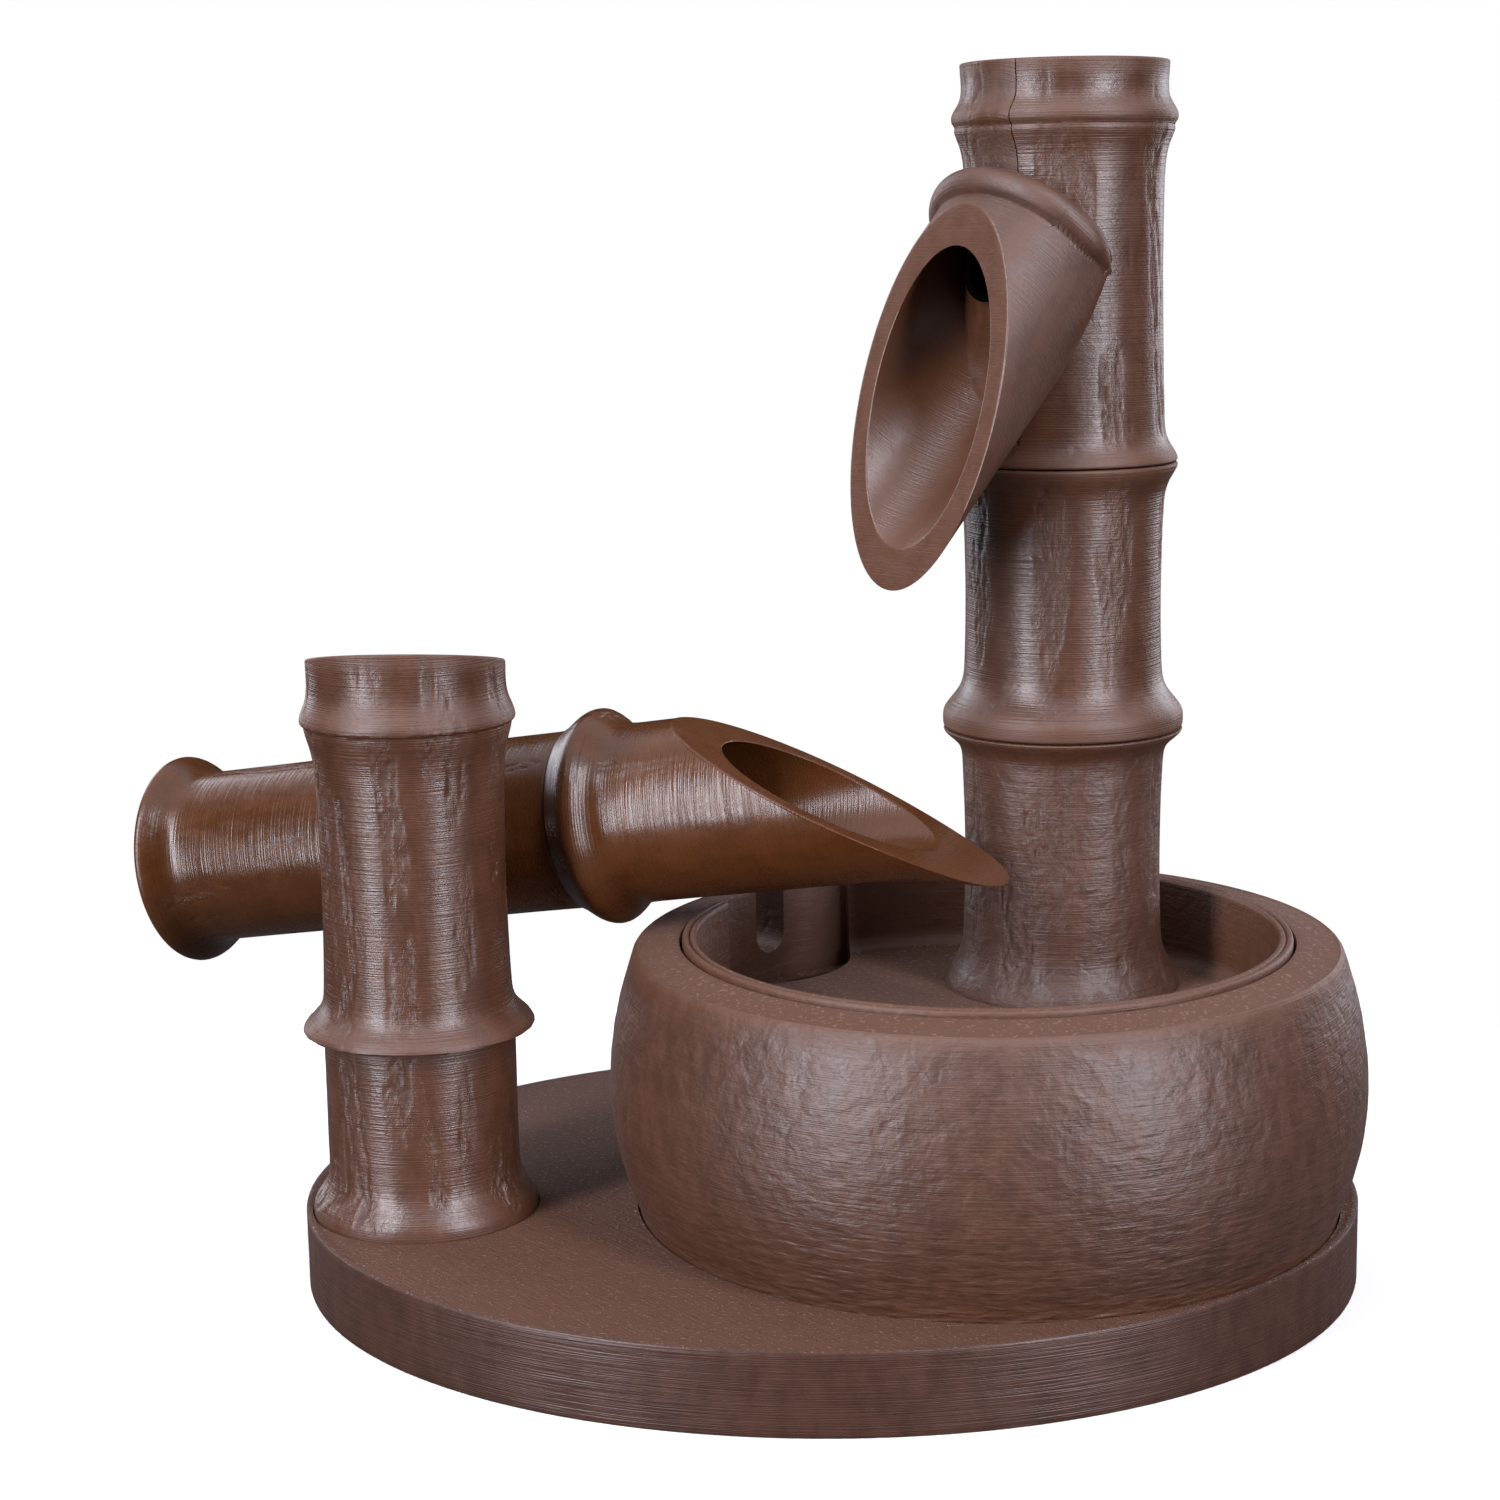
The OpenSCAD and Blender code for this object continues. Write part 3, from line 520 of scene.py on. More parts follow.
def printed(name, place, base, rough, layer=0.07, layer_gap=0.18, grain=0.05, band=0.02,
            ripple=0.0, hatch=0.0, calm=0.24, ior=1.8):
    """Printed plastic. layer, grain, band, ripple and hatch are the depths, in millimetres,
    of the layers across the z axis of the place, of the grain, of groups of layers, of the
    belly's waves and dents, and of the marks on faces that look up. Where the bark is off,
    the surface is warmer, and rougher by calm. ior sets how strong the sheen is."""
    material, tree, shader = new_finish(name)
    own = own_frame(tree, place)
    plates = tree.stretched(own, (LAYER_RUN, LAYER_RUN, 1 / layer_gap))
    layers = tree.noise(plates, 1.0, detail=0.0)
    bands = tree.noise(tree.stretched(own, BAND_SCALE), 1.0, detail=2.0, rough=0.6)
    fine = tree.noise(tree.stretched(own, GRAIN_SCALE), 1.4, detail=2.0, rough=0.6)
    blotch = tree.noise(tree.stretched(own, BLOTCH_SCALE), 0.3, detail=3.0, rough=0.6)
    crack, patch, bark_on = (
        tree.add("ShaderNodeAttribute", {"attribute_name": label}, out="Fac")
        for label in ("crack", "patch", "relief"))
    bare = 1.0 - bark_on
    ridge = tree.noise(tree.stretched(own, RIDGE_SCALE), 0.9, detail=2.0, warp=0.8)
    ridge = tree.line(ridge, RIDGE_WIDTH) * patch
    patchy = tree.smooth(blotch * 0.7 + bands * 0.3, 0.38, 0.62)
    shade = blend(tree, patchy, darker(base, DARKER), base)
    shade = blend(tree, (bare * 0.6 + crack * 0.5 + patch * 0.2).least(1.0), shade, WARM)
    # Painted shade: the wrinkles and the grooves of the ridges are darkened, as if shade fell in
    # them.
    shade = blend(tree, ridge * 0.25 + crack * 0.35, shade, CREASE_SHADE)
    rougher = ((fine - 0.5) * 0.2 + (blotch - 0.5) * 0.2 + bare * calm
               + patch * 0.05 + crack * 0.2)
    height = layers * layer + fine * grain + bands * band - ridge * RIDGE_DEEP
    if ripple:
        height = height + belly_waves(tree, own) * ripple
    if hatch:
        level, path, speck = level_marks(tree, own, place)
        height = height + (path + speck) * hatch
        # Painted glint: the raised specks are coloured lighter, on top of their real relief and
        # gloss.
        shade = blend(tree, speck * 0.4, shade, SPECK_GLINT)
        rougher = rougher + level * 0.34 - speck * 0.3
    bumped = tree.add("ShaderNodeBump", None,
                      {"Strength": 1.0, "Distance": MM, "Height": height})
    tree.feed(shader, {"Base Color": shade, "Roughness": rougher + rough, "Normal": bumped,
                       "IOR": ior})
    return material


print("bands of layers are about", round(1 / BAND_SCALE[2], 1), "mm high")

# %% The browns of the pieces
BROWN, BOWL_BROWN, SIDE_BROWN = tone(93, 56, 37), tone(90, 54, 36), tone(84, 52, 38)
SADDLE = tone(91, 50, 20)
finishes = {
    "plate": printed("plate brown", BOWL_AT, SIDE_BROWN, 0.42, layer=0.08, band=0.03,
                     hatch=0.22, calm=0.04, ior=1.7),
    "bowl": printed("bowl brown", BOWL_AT, BOWL_BROWN, 0.48, layer=0.05, grain=0.08, band=0.0,
                    ripple=0.4, hatch=0.09, calm=0.12),
    "column": printed("column brown", COLUMN_AT, BROWN, 0.38),
    "post": printed("post brown", POST_AT, BROWN, 0.36),
    "spout": printed("spout brown", SPOUT_AT, BROWN, 0.54, layer=0.04, band=0.01, calm=-0.12),
    "rocker": printed("rocker brown", ARM_AT, SADDLE, 0.27, layer=0.05, layer_gap=0.28,
                      grain=0.02, band=0.01, calm=0.04, ior=1.6),
}
print("finishes:", ", ".join(finishes))

# %% [markdown]
# ## Bark
# Real bamboo bark has soft lumps, and lengthwise wrinkles that come in patches. A wrinkle is
# where a noise crosses its middle value: a thin winding line, which runs lengthwise because
# the noise is stretched along the bamboo. All relief goes inwards, so the piece keeps its
# size. Where the bark is torn is stored on the points, so that the finish can warm it and
# darken it with painted shade in the creases.

# %% The bark tree
WRINKLE_WIDTH, CRINKLE_WIDTH, CRINKLE_SHARE, PATCH_EDGE = 0.045, 0.08, 0.25, 0.08

bark, size, leave = relief_tree("bark", {
    "Wrinkle depth": 0.22, "Lump depth": 0.16, "Bareness": 0.5, "Shift": 0.0})
own, mask = named(bark, "own", "FLOAT_VECTOR"), named(bark, "relief")
shift = bark.add("ShaderNodeCombineXYZ", None, {"X": size["Shift"], "Y": 0.0, "Z": 0.0})
spot = bark.add("ShaderNodeVectorMath", {"operation": "ADD"}, {0: own, 1: shift})
patch = bark.noise(bark.stretched(spot, (1, 1, 0.2)), 0.14, detail=2.0)
patch = bark.smooth(patch - size["Bareness"], 0.0, PATCH_EDGE)
wind = bark.noise(bark.stretched(spot, (1, 1, 0.14)), 0.3, detail=3.0, rough=0.6, warp=0.5)
crease = bark.noise(bark.stretched(spot, (1, 1, 0.45)), 0.5, detail=2.0, warp=0.8)
lump = bark.noise(bark.stretched(spot, (1, 1, 0.3)), 0.16, detail=2.0)
torn = bark.line(wind, WRINKLE_WIDTH) + bark.line(crease, CRINKLE_WIDTH) * CRINKLE_SHARE
torn = torn.least(1.0) * patch
depth = (torn * size["Wrinkle depth"] + lump * size["Lump depth"]) * mask
moved = sunk(bark, size["Geometry"], depth)
for label, value in (("crack", torn * mask), ("patch", patch * mask)):
    moved = bark.add("GeometryNodeStoreNamedAttribute",
                     {"data_type": "FLOAT", "domain": "POINT"},
                     {"Geometry": moved, "Name": label, "Value": value})
end_tree(bark, moved, size, leave)
print("bark tree:", len(bark.nodes.nodes), "nodes")

# %% [markdown]
# ## Tubes with dense outsides
# The outside of a tube needs points every third of a millimetre, because the bark moves
# them, while its inside needs only its corners. Relief fades out towards the rims and at the
# node rings, which are smooth on the real bamboo too.

# %% A tube from two outlines
DENSE, STEP, RIM, FADE = 288, 0.38, 0.5, 2.5
RING_CALM, RING_REACH = 0.75, 2.6
around = np.arange(DENSE) * 2 * math.pi / DENSE


def point(r, z):
    """One (r, z) for every direction; r or z may differ from one direction to the next."""
    return np.stack([np.broadcast_to(np.asarray(v, float), DENSE) for v in (r, z)], -1)


def tube(outer, inside, low, high, calm=(), ends=0.15):
    """Rows of a tube and how much relief each takes. outer(z) is the outside radius. inside
    lists (r, z) pairs from the upper rim to the lower one. low and high may differ from one
    direction to the next. calm lists heights of rings that take less relief."""
    low, high = (np.broadcast_to(np.asarray(v, float), DENSE) for v in (low, high))
    out_z = rows_between(low + RIM * 1.3, high - RIM * 1.3, STEP)
    out = np.stack([outer(out_z), out_z], -1)
    ins = [point(r, z) for r, z in inside]
    top = corner(out[-1], point(outer(high), high), ins[0], RIM)
    bottom = corner(ins[-1], point(outer(low), low), out[0], RIM)
    rows = np.concatenate([out, top, np.stack(ins), bottom])
    mask = np.zeros(len(rows))
    middle = out_z.mean(axis=1)
    level = np.minimum(middle - middle[0], middle[-1] - middle)
    mask[:len(out)] = np.clip(level / FADE, ends, 1)
    for ring_z in calm:
        mask[:len(out)] *= 1 - RING_CALM * np.exp(-((middle - ring_z) / RING_REACH) ** 2)
    return rows, mask


def over_rim(outside, inner, edge_out, edge_in, rounds, count=4, steps=4):
    """Rows down the outside, over a rim with two rounded corners, and up the inside."""
    rim_out = corner(outside[-1], edge_out, edge_in, rounds[0], count)
    rim_in = corner(edge_out, edge_in, inner[0], rounds[1], count)
    t = np.linspace(0, 1, steps + 2)[1:-1, None, None]
    return [outside, rim_out, rim_out[-1] + (rim_in[0] - rim_out[-1]) * t, rim_in, inner]


print(DENSE, "directions round each tube, rows", STEP, "mm apart")

# %% [markdown]
# ## The bamboo sections
# The column is three sections that plug together and swell to their node rings. The rim of
# one stands on the next, which leaves the thin dark joints that the photograph shows. An
# outline gives the radius at each height, repeated from the solids.

# %% Outlines of the three sections
JOINT_LOW, JOINT_HIGH, COLUMN_TOP, FLOOR_Z = 90.0, 135.4, 201.2, 44.2
COLUMN_R, BORE_R, SPIGOT_R, SPIGOT_WALL, PLUG = 16.7, 14.2, 15.1, 2.2, 6.0
JOINT_GAP, PLUG_GAP, SPIGOT_GAP = 0.3, 0.3, 0.1
COLLAR_DOWN, GROOVE_DOWN, GROOVE_DEEP = 9, 10.4, 0.35


def lower_r(z):
    return (waisted(z, FLOOR_Z, JOINT_LOW, COLUMN_R + 0.2) + bump(z, FLOOR_Z, 2.8, 4.6, 1)
            + bump(z, JOINT_LOW, 3.0, 1, 2.4))


def middle_r(z):
    return (waisted(z, JOINT_LOW, JOINT_HIGH, COLUMN_R) + bump(z, JOINT_LOW + 2.2, 3.2, 3.6, 8)
            + bump(z, JOINT_HIGH, 1.9, 1, 3.4))


def top_r(z):
    return (waisted(z, JOINT_HIGH, COLUMN_TOP, COLUMN_R - 0.1) + bump(z, JOINT_HIGH, 1.9, 3, 1)
            + bump(z, COLUMN_TOP - COLLAR_DOWN, 1.8, 2.4, 4.4)
            - bump(z, COLUMN_TOP - GROOVE_DOWN, GROOVE_DEEP, 0.5, 0.5))


def socket(high):
    """The socket in a section's top: its mouth, its wall and its step to the bore."""
    mouth, step_z = SPIGOT_R + SPIGOT_GAP, high - PLUG - PLUG_GAP
    return [(mouth, high), (mouth, step_z), (BORE_R, step_z)]


def spigot(low):
    """The bore's end, and the spigot that a section stands on."""
    inner = SPIGOT_R - SPIGOT_WALL
    return [(BORE_R, low + 3), (inner, low), (inner, low - PLUG), (SPIGOT_R, low - PLUG),
            (SPIGOT_R, low)]


print("sections meet at", JOINT_LOW, "and", JOINT_HIGH, "mm")

# %% [markdown]
# ## The middle and top sections
# The spout's tongue fills a slot in the top section. It has to carry on the section's own
# bark, so it isn't modelled: a copy of the grown section is cut down to the slot's width, less
# a seam that shows as a dark line. On the hidden side there is next to no seam.

# %% Middle section, top section and tongue
HOSE_EXIT, TONGUE_Z, SLOT_HALF, SEAM, HIDDEN_SEAM = 167.0, 176.8, 4.8, 0.2, 0.02
MOUTH_BEVEL, ABOVE = 0.35, 210

rows, mask = tube(middle_r, socket(JOINT_HIGH) + spigot(JOINT_LOW), JOINT_LOW,
                  JOINT_HIGH - JOINT_GAP, calm=(JOINT_LOW + 2.2, JOINT_HIGH))
column_middle = columns("middle_section", rows, COLUMN_AT, mask)
grow(column_middle, bark.nodes, finishes["column"], {"Shift": 40.0})
tell(column_middle)

mouth = [(BORE_R + MOUTH_BEVEL, COLUMN_TOP), (BORE_R, COLUMN_TOP - MOUTH_BEVEL)]
rows, mask = tube(top_r, mouth + spigot(JOINT_HIGH), JOINT_HIGH, COLUMN_TOP,
                  calm=(JOINT_HIGH, COLUMN_TOP - COLLAR_DOWN), ends=0.3)
column_top = columns("top_section", rows, COLUMN_AT, mask)
grow(column_top, bark.nodes, finishes["column"], {"Shift": 90.0})
tongue = bpy.data.objects.new("tongue", column_top.data.copy())
bpy.context.scene.collection.objects.link(tongue)
towards = COLUMN_AT @ about("Z", SPOUT_TURN)
cut(tongue, block("slab", (4, HIDDEN_SEAM - SLOT_HALF, TONGUE_Z),
                  (30, SLOT_HALF - SEAM, ABOVE), towards), "INTERSECT")
cut(column_top, block("slot", (2, -SLOT_HALF, HOSE_EXIT), (30, SLOT_HALF, ABOVE), towards))
cut(column_top, drum("seat", SLOT_HALF, 2, 30, towards @ at(0, 0, HOSE_EXIT) @ about("Y", 90)))
tell(column_top)

# %% [markdown]
# ## The basin
# One print holds the shallow basin and the lowest bamboo section. Its wall ends in a double
# lip, and at the back a round bite lets the water and the pump's lead through. The dish comes
# from one outline, the bamboo is joined to it, and then the bore is opened through both.

# %% Dish, bamboo, bore and bite
LEDGE_Z, LIP_Z, BASIN_R, BASIN_WALL, BASIN_FILLET = 41.2, 59.2, 50.7, 2.4, 3
LIP_ROUND, LIP_FOOT = 0.6, 1.1
BITE_OUT, BITE_R, BITE_TURN = 58.0, 19.5, 137.0
ROUND, TOOL_ROUND = 420, 160


def lip_bead(middle, count=9):
    angle = np.radians(np.linspace(0, 180, count))
    return [(middle + BASIN_WALL * 0.25 * math.cos(a), LIP_Z - LIP_ROUND + LIP_ROUND * math.sin(a))
            for a in angle]


inner_r = BASIN_R - BASIN_WALL
outline = [(0, LEDGE_Z), (BASIN_R - 0.3, LEDGE_Z), (BASIN_R, LEDGE_Z + 0.3),
           (BASIN_R, LIP_Z - LIP_FOOT)]
outline += lip_bead(BASIN_R - BASIN_WALL * 0.25) + lip_bead(BASIN_R - BASIN_WALL * 0.75)
outline += [(inner_r, z) for z in np.linspace(LIP_Z - LIP_FOOT, FLOOR_Z + BASIN_FILLET + 0.1, 12)]
outline += [(inner_r - BASIN_FILLET * (1 - math.cos(a)),
             FLOOR_Z + BASIN_FILLET * (1 - math.sin(a)))
            for a in np.radians(np.linspace(0, 90, 9))]
outline += [(r, FLOOR_Z) for r in np.linspace(inner_r - 4, 2, 24)] + [(0, FLOOR_Z)]
basin = revolve("basin_and_bamboo", outline, BOWL_AT, ROUND)
basin.data.materials.append(finishes["bowl"])
rows, mask = tube(lower_r, socket(JOINT_LOW) + [(BORE_R, FLOOR_Z - 1)], FLOOR_Z - 1,
                  JOINT_LOW - JOINT_GAP, calm=(JOINT_LOW,), ends=0.1)
lower_bamboo = columns("lower_bamboo", rows, COLUMN_AT, mask)
grow(lower_bamboo, bark.nodes, finishes["column"], {"Shift": 10.0})
cut(basin, lower_bamboo, "UNION")
cut(basin, drum("bore", BORE_R, 30, FLOOR_Z + 2, COLUMN_AT))
bite_at = BOWL_AT @ about("Z", BITE_TURN) @ at(BITE_OUT, 0)
cut(basin, drum("bite", BITE_R, 30, 70, bite_at, TOOL_ROUND))
tell(basin)

# %% [markdown]
# ## The spout's ends
# A slanted tube leaves the column and is cut off almost upright. Each direction round it
# starts on the column and ends on the cut plane, and both places follow from the angles. A
# rounded collar circles it where it meets the column. The collar thins out towards the
# underside, and behind it the tube is tucked in, so that nothing shows beside the column.

# %% Where the spout starts, ends and swells
SPOUT_R, SPOUT_BORE, SPOUT_REACH, SPOUT_CUT = 16.0, 12.5, 23.5, 15.8
COLLAR_AT, COLLAR_R, COLLAR_SUNK, COLLAR_THIN = 12.5, 2.6, 0.2, 0.8
THIN_FROM, THIN_OVER, TUCK, TUCK_BACK, TUCK_OVER = 0.25, 0.6, 1.8, 1.5, 3
WALL_MIDDLE = 15.6
dip, lean = math.radians(SPOUT_DIP), math.radians(SPOUT_CUT)


def eased(t):
    t = np.clip(t, 0, 1)
    return t * t * (3 - 2 * t)


def spout_start(radius):
    x, y = radius * np.cos(around), radius * np.sin(around)
    return (np.sqrt(np.maximum(WALL_MIDDLE ** 2 - y ** 2, 0)) + x * math.sin(dip)) / math.cos(dip)


def spout_end(radius):
    x = radius * np.cos(around)
    return (SPOUT_REACH * math.cos(lean) + x * math.sin(dip + lean)) / math.cos(dip + lean)


def spout_out(k):
    thin = eased((np.cos(around) + THIN_FROM) / THIN_OVER)
    ring_r = COLLAR_R * (1 - COLLAR_THIN * thin)
    rise = np.sqrt(np.maximum(ring_r ** 2 - (k - COLLAR_AT) ** 2, 0)) - COLLAR_SUNK
    tucked = eased((COLLAR_AT - TUCK_BACK - k) / TUCK_OVER)
    return SPOUT_R + np.maximum(rise, 0) - TUCK * tucked


out_end, in_end = spout_end(SPOUT_R), spout_end(SPOUT_BORE)
out_start = np.min([spout_start(SPOUT_R + step) for step in (-TUCK, 0, COLLAR_R)], axis=0)
in_start = spout_start(SPOUT_BORE)
print("the spout is", round(float(out_end.max() - out_start.min())), "mm long")

# %% Spout and tongue
EDGE, SPOUT_RIM = 0.45, (0.4, 0.3)

far = rows_between(out_start, out_end - EDGE, 0.42)
near = rows_between(in_end - EDGE, in_start, 1.2)
outside = np.stack([spout_out(far), far], -1)
inner = np.stack([np.full(near.shape, SPOUT_BORE), near], -1)
rows = np.concatenate(over_rim(outside, inner, point(spout_out(out_end), out_end),
                               point(SPOUT_BORE, in_end), SPOUT_RIM))
spout = columns("spout_and_tongue", rows, SPOUT_AT, np.arange(len(rows)) < len(outside))
spout.data.materials.append(finishes["spout"])
cut(spout, drum("bore", BORE_R + 0.05, 120, ABOVE, COLUMN_AT))
cut(spout, tongue, "UNION")
tell(spout)

# %% [markdown]
# ## The post
# Three short sections of bamboo in one print. A slanted cut opens the hollow in its top, and
# a boss at the back carries the rocker's pin. Its rows start and end on the axis, where the
# underside and the hollow's floor meet it, so the skin has no hole down its middle.

# %% Outline and rows of the post
POST_SEAT, NODE_LOW, NODE_HIGH, POST_TOP, TOP_CUT = 12.0, 44.8, 96.6, 109.9, 11.4
POST_R, FOOT_R, POST_WALL, POST_HOLLOW, FOOT_SUNK, PEG_R = 15.7, 18.9, 2.6, 8.0, 7.2, 13


def post_out(z):
    z = np.asarray(z, float)
    foot = POST_R + 0.3 + bump(z, POST_SEAT + 2.5, FOOT_R - POST_R - 0.3, 3.4, 9)
    middle = (waisted(z, NODE_LOW, NODE_HIGH, POST_R - 0.4) + bump(z, NODE_LOW + 0.4, 3.2, 2.8, 1)
              + bump(z, NODE_HIGH, 1.0, 1, 4))
    crown = POST_R + 0.6 + bump(z, NODE_HIGH + 0.5, 1.4, 3, 1)
    return np.where(z < NODE_LOW, foot, np.where(z < NODE_HIGH, middle, crown))


def post_end(radius):
    return POST_TOP - (radius * np.sin(around) + POST_R) * math.tan(math.radians(TOP_CUT))


hollow_r = POST_R - POST_WALL
crown_z, hollow_z = post_end(POST_R + 0.6), post_end(hollow_r)
hollow_floor, peg_z = POST_TOP - POST_HOLLOW - 3, POST_SEAT - FOOT_SUNK
inside = [(hollow_r + 0.1, hollow_z), (hollow_r, hollow_z - 0.4), (hollow_r, 103),
          (hollow_r, hollow_floor), (0, hollow_floor),
          (0, peg_z), (PEG_R, peg_z), (PEG_R, POST_SEAT)]
rows, mask = tube(post_out, inside, POST_SEAT, crown_z, calm=(NODE_LOW, NODE_HIGH, POST_SEAT),
                  ends=0.3)
lowest = np.flatnonzero(rows[:, 0, 0] == 0)[-1]
rows, mask = np.roll(rows, -lowest, axis=0), np.roll(mask, -lowest)
print("the post's rows run from", rows[0, 0], "to", rows[-1, 0])

# %% Bark and boss of the post
BOSS_R, BOSS_FROM, BOSS_FACE = 6, 4, 16.8

post = columns("bamboo_post", rows, POST_AT, mask, closed=False)
grow(post, bark.nodes, finishes["post"], {"Shift": 150.0, "Wrinkle depth": 0.28})
pinwise = POST_AT @ about("Z", -ARM_TURN) @ at(0, 0, PIVOT_Z) @ about("X", -90)
cut(post, drum("boss", BOSS_R, BOSS_FROM, BOSS_FACE, pinwise), "UNION")
tell(post)

# %% [markdown]
# ## The rocker's tail
# The tail is a plain bamboo tube with a flared end. It leans with the rocker, so it is made
# upright and put in the rocker's frame. It takes less bark than the post does.

# %% Tail
ARM_R, ARM_WALL, TAIL, JOINT_AT, ARM_BEVEL, TAIL_RELIEF = 15.6, 3.0, 67.4, 15.4, 0.3, 0.8
arm_in = ARM_R - ARM_WALL


def tail_out(k):
    return ARM_R + bump(k, -TAIL + 1.2, 3.4, 3.6, 1)


inside = [(arm_in + ARM_BEVEL, JOINT_AT), (arm_in, JOINT_AT - ARM_BEVEL),
          (arm_in, -TAIL + ARM_BEVEL), (arm_in + ARM_BEVEL, -TAIL)]
rows, mask = tube(tail_out, inside, -TAIL, JOINT_AT, calm=(-TAIL + 1,))
tail = columns("rocker_tail_tube", rows, ARM_AT, mask * TAIL_RELIEF)
grow(tail, bark.nodes, finishes["rocker"], {"Shift": 220.0, "Bareness": 0.58})
tell(tail)

# %% [markdown]
# ## The rocker's scoop
# The scoop is closed at its node ring, and a long slanted cut opens its cup up to the tip,
# like a quill. Because the tube flares there, the place where the cut meets it is found by a
# few rounds of trying. The cup is a little flatter than the tube, for more wall above and
# below.

# %% Outlines of the scoop
CUT_FROM, TIP_AT, TIP_FLARE, TIP_PAST, FLATTER, CUP_FROM = 36.0, 90.5, 2.6, 2, 0.82, 19.0
slant = math.atan2(2 * ARM_R + TIP_FLARE, TIP_AT - CUT_FROM)
hollow = 1 / np.sqrt((np.cos(around) / FLATTER) ** 2 + np.sin(around) ** 2)


def tip_flare(k):
    return bump(k, TIP_AT + TIP_PAST, TIP_FLARE, 8, 13)


def scoop_out(k):
    return ARM_R + bump(k, JOINT_AT + 5.4, 3.2, 3, 4) + tip_flare(k)


def scoop_in(k):
    return (arm_in + tip_flare(k)) * hollow


def scoop_end(radius_at, rounds=6):
    k = np.full(DENSE, CUT_FROM)
    for turn in range(rounds):
        k = CUT_FROM + (radius_at(k) * np.cos(around) + ARM_R) / math.tan(slant)
    return k


out_end, in_end = scoop_end(scoop_out), scoop_end(scoop_in)
print("the cut is", round(math.degrees(slant), 1), "degrees off the axis")

# %% Scoop
SCOOP_RIM, SCOOP_RELIEF, RELIEF_OVER = (0.5, 0.5), 0.6, 10

far = rows_between(np.full(DENSE, JOINT_AT + 0.5), out_end - EDGE, 0.45)
near = rows_between(in_end - EDGE, np.full(DENSE, CUP_FROM), 0.9)
outside, inner = np.stack([scoop_out(far), far], -1), np.stack([scoop_in(near), near], -1)
cup = over_rim(outside, inner, point(scoop_out(out_end), out_end),
               point(scoop_in(in_end), in_end), SCOOP_RIM, count=5, steps=3)
plug_r, plug_z = arm_in - 0.1, JOINT_AT - 6
first = np.stack([point(r, z) for r, z in (
    (0, plug_z), (plug_r, plug_z), (plug_r, JOINT_AT), (ARM_R - 0.4, JOINT_AT),
    (ARM_R - 0.1, JOINT_AT + 0.2))])
last = np.stack([point(arm_in - 1.5, CUP_FROM - 1.5), point(0, CUP_FROM - 1.6)])
rows = np.concatenate([first, *cup, last])
mask = np.zeros(len(rows))
along_k = outside[:, :, 1].mean(axis=1)
mask[len(first):len(first) + len(outside)] = SCOOP_RELIEF * np.clip(
    (along_k - along_k[0]) / RELIEF_OVER, 0.1, 1)
scoop = columns("rocker_scoop_cup", rows, ARM_AT, mask, closed=False)
grow(scoop, bark.nodes, finishes["rocker"], {"Shift": 300.0, "Bareness": 0.55})
tell(scoop)

# %% [markdown]
# ## Hammered plastic
# The bowl's belly looks hammered: shallow dents a few millimetres wide, drawn out into level
# waves near its foot. A second tree makes them from noise fields that fade into each other
# with height, and the finish adds the finer ones.

# %% The hammered tree
hammer, size, leave = relief_tree("hammered", {
    "Dent depth": 0.1, "Wave depth": 0.16, "Pit depth": 0.06, "Foot": 14.0, "Waist": 40.0})
own, mask = named(hammer, "own", "FLOAT_VECTOR"), named(hammer, "relief")
wavy = 1.0 - hammer.smooth(hammer.upright(own), size["Foot"], size["Waist"])
dents = hammer.smooth(hammer.noise(own, 0.32, detail=2.0, warp=0.4), 0.3, 0.66)
waves = hammer.noise(hammer.stretched(own, (0.35, 0.35, 1.0)), 0.5, detail=2.0)
pits = hammer.noise(own, 0.8, detail=2.0, rough=0.6)
depth = (dents * size["Dent depth"] * (1.0 - wavy * 0.6) + waves * size["Wave depth"] * wavy
         + pits * size["Pit depth"]) * mask
end_tree(hammer, sunk(hammer, size["Geometry"], depth), size, leave)
print("hammered tree:", len(hammer.nodes.nodes), "nodes")

# %% [markdown]
# ## The bowl
# The bowl is turned from one outline: foot, belly, brow, a gently sloping top, the mouth that
# holds the basin, and the reservoir for the pump below a ledge. The belly is two parabolas
# that meet at its widest height. A notch at the back lets the pump's lead out.

# %% Bowl
BOWL_Z, PLATE_T, BELLY_R, BELLY_Z = 7.5, 13.5, 63.3, 34.0
FOOT, BROW_R, BROW_Z, BROW_EDGE, TOP_SLOPE = 58.8, 58.8, 57.1, 0.5, 0.155
BOWL_TOP, MOUTH_R, RESERVOIR_R, RESERVOIR_Z = 58.3, 51.1, 48.0, 10.5
NOTCH_W, NOTCH_DEEP, BELLY_ROWS, BOWL_ROUND = 7.0, 12.0, 72, 520


def belly(z):
    low = BELLY_R - (BELLY_R - FOOT) * ((BELLY_Z - z) / (BELLY_Z - PLATE_T)) ** 2
    high = BELLY_R - (BELLY_R - BROW_R) * ((z - BELLY_Z) / (BROW_Z - BELLY_Z)) ** 2
    return np.where(z < BELLY_Z, low, high)


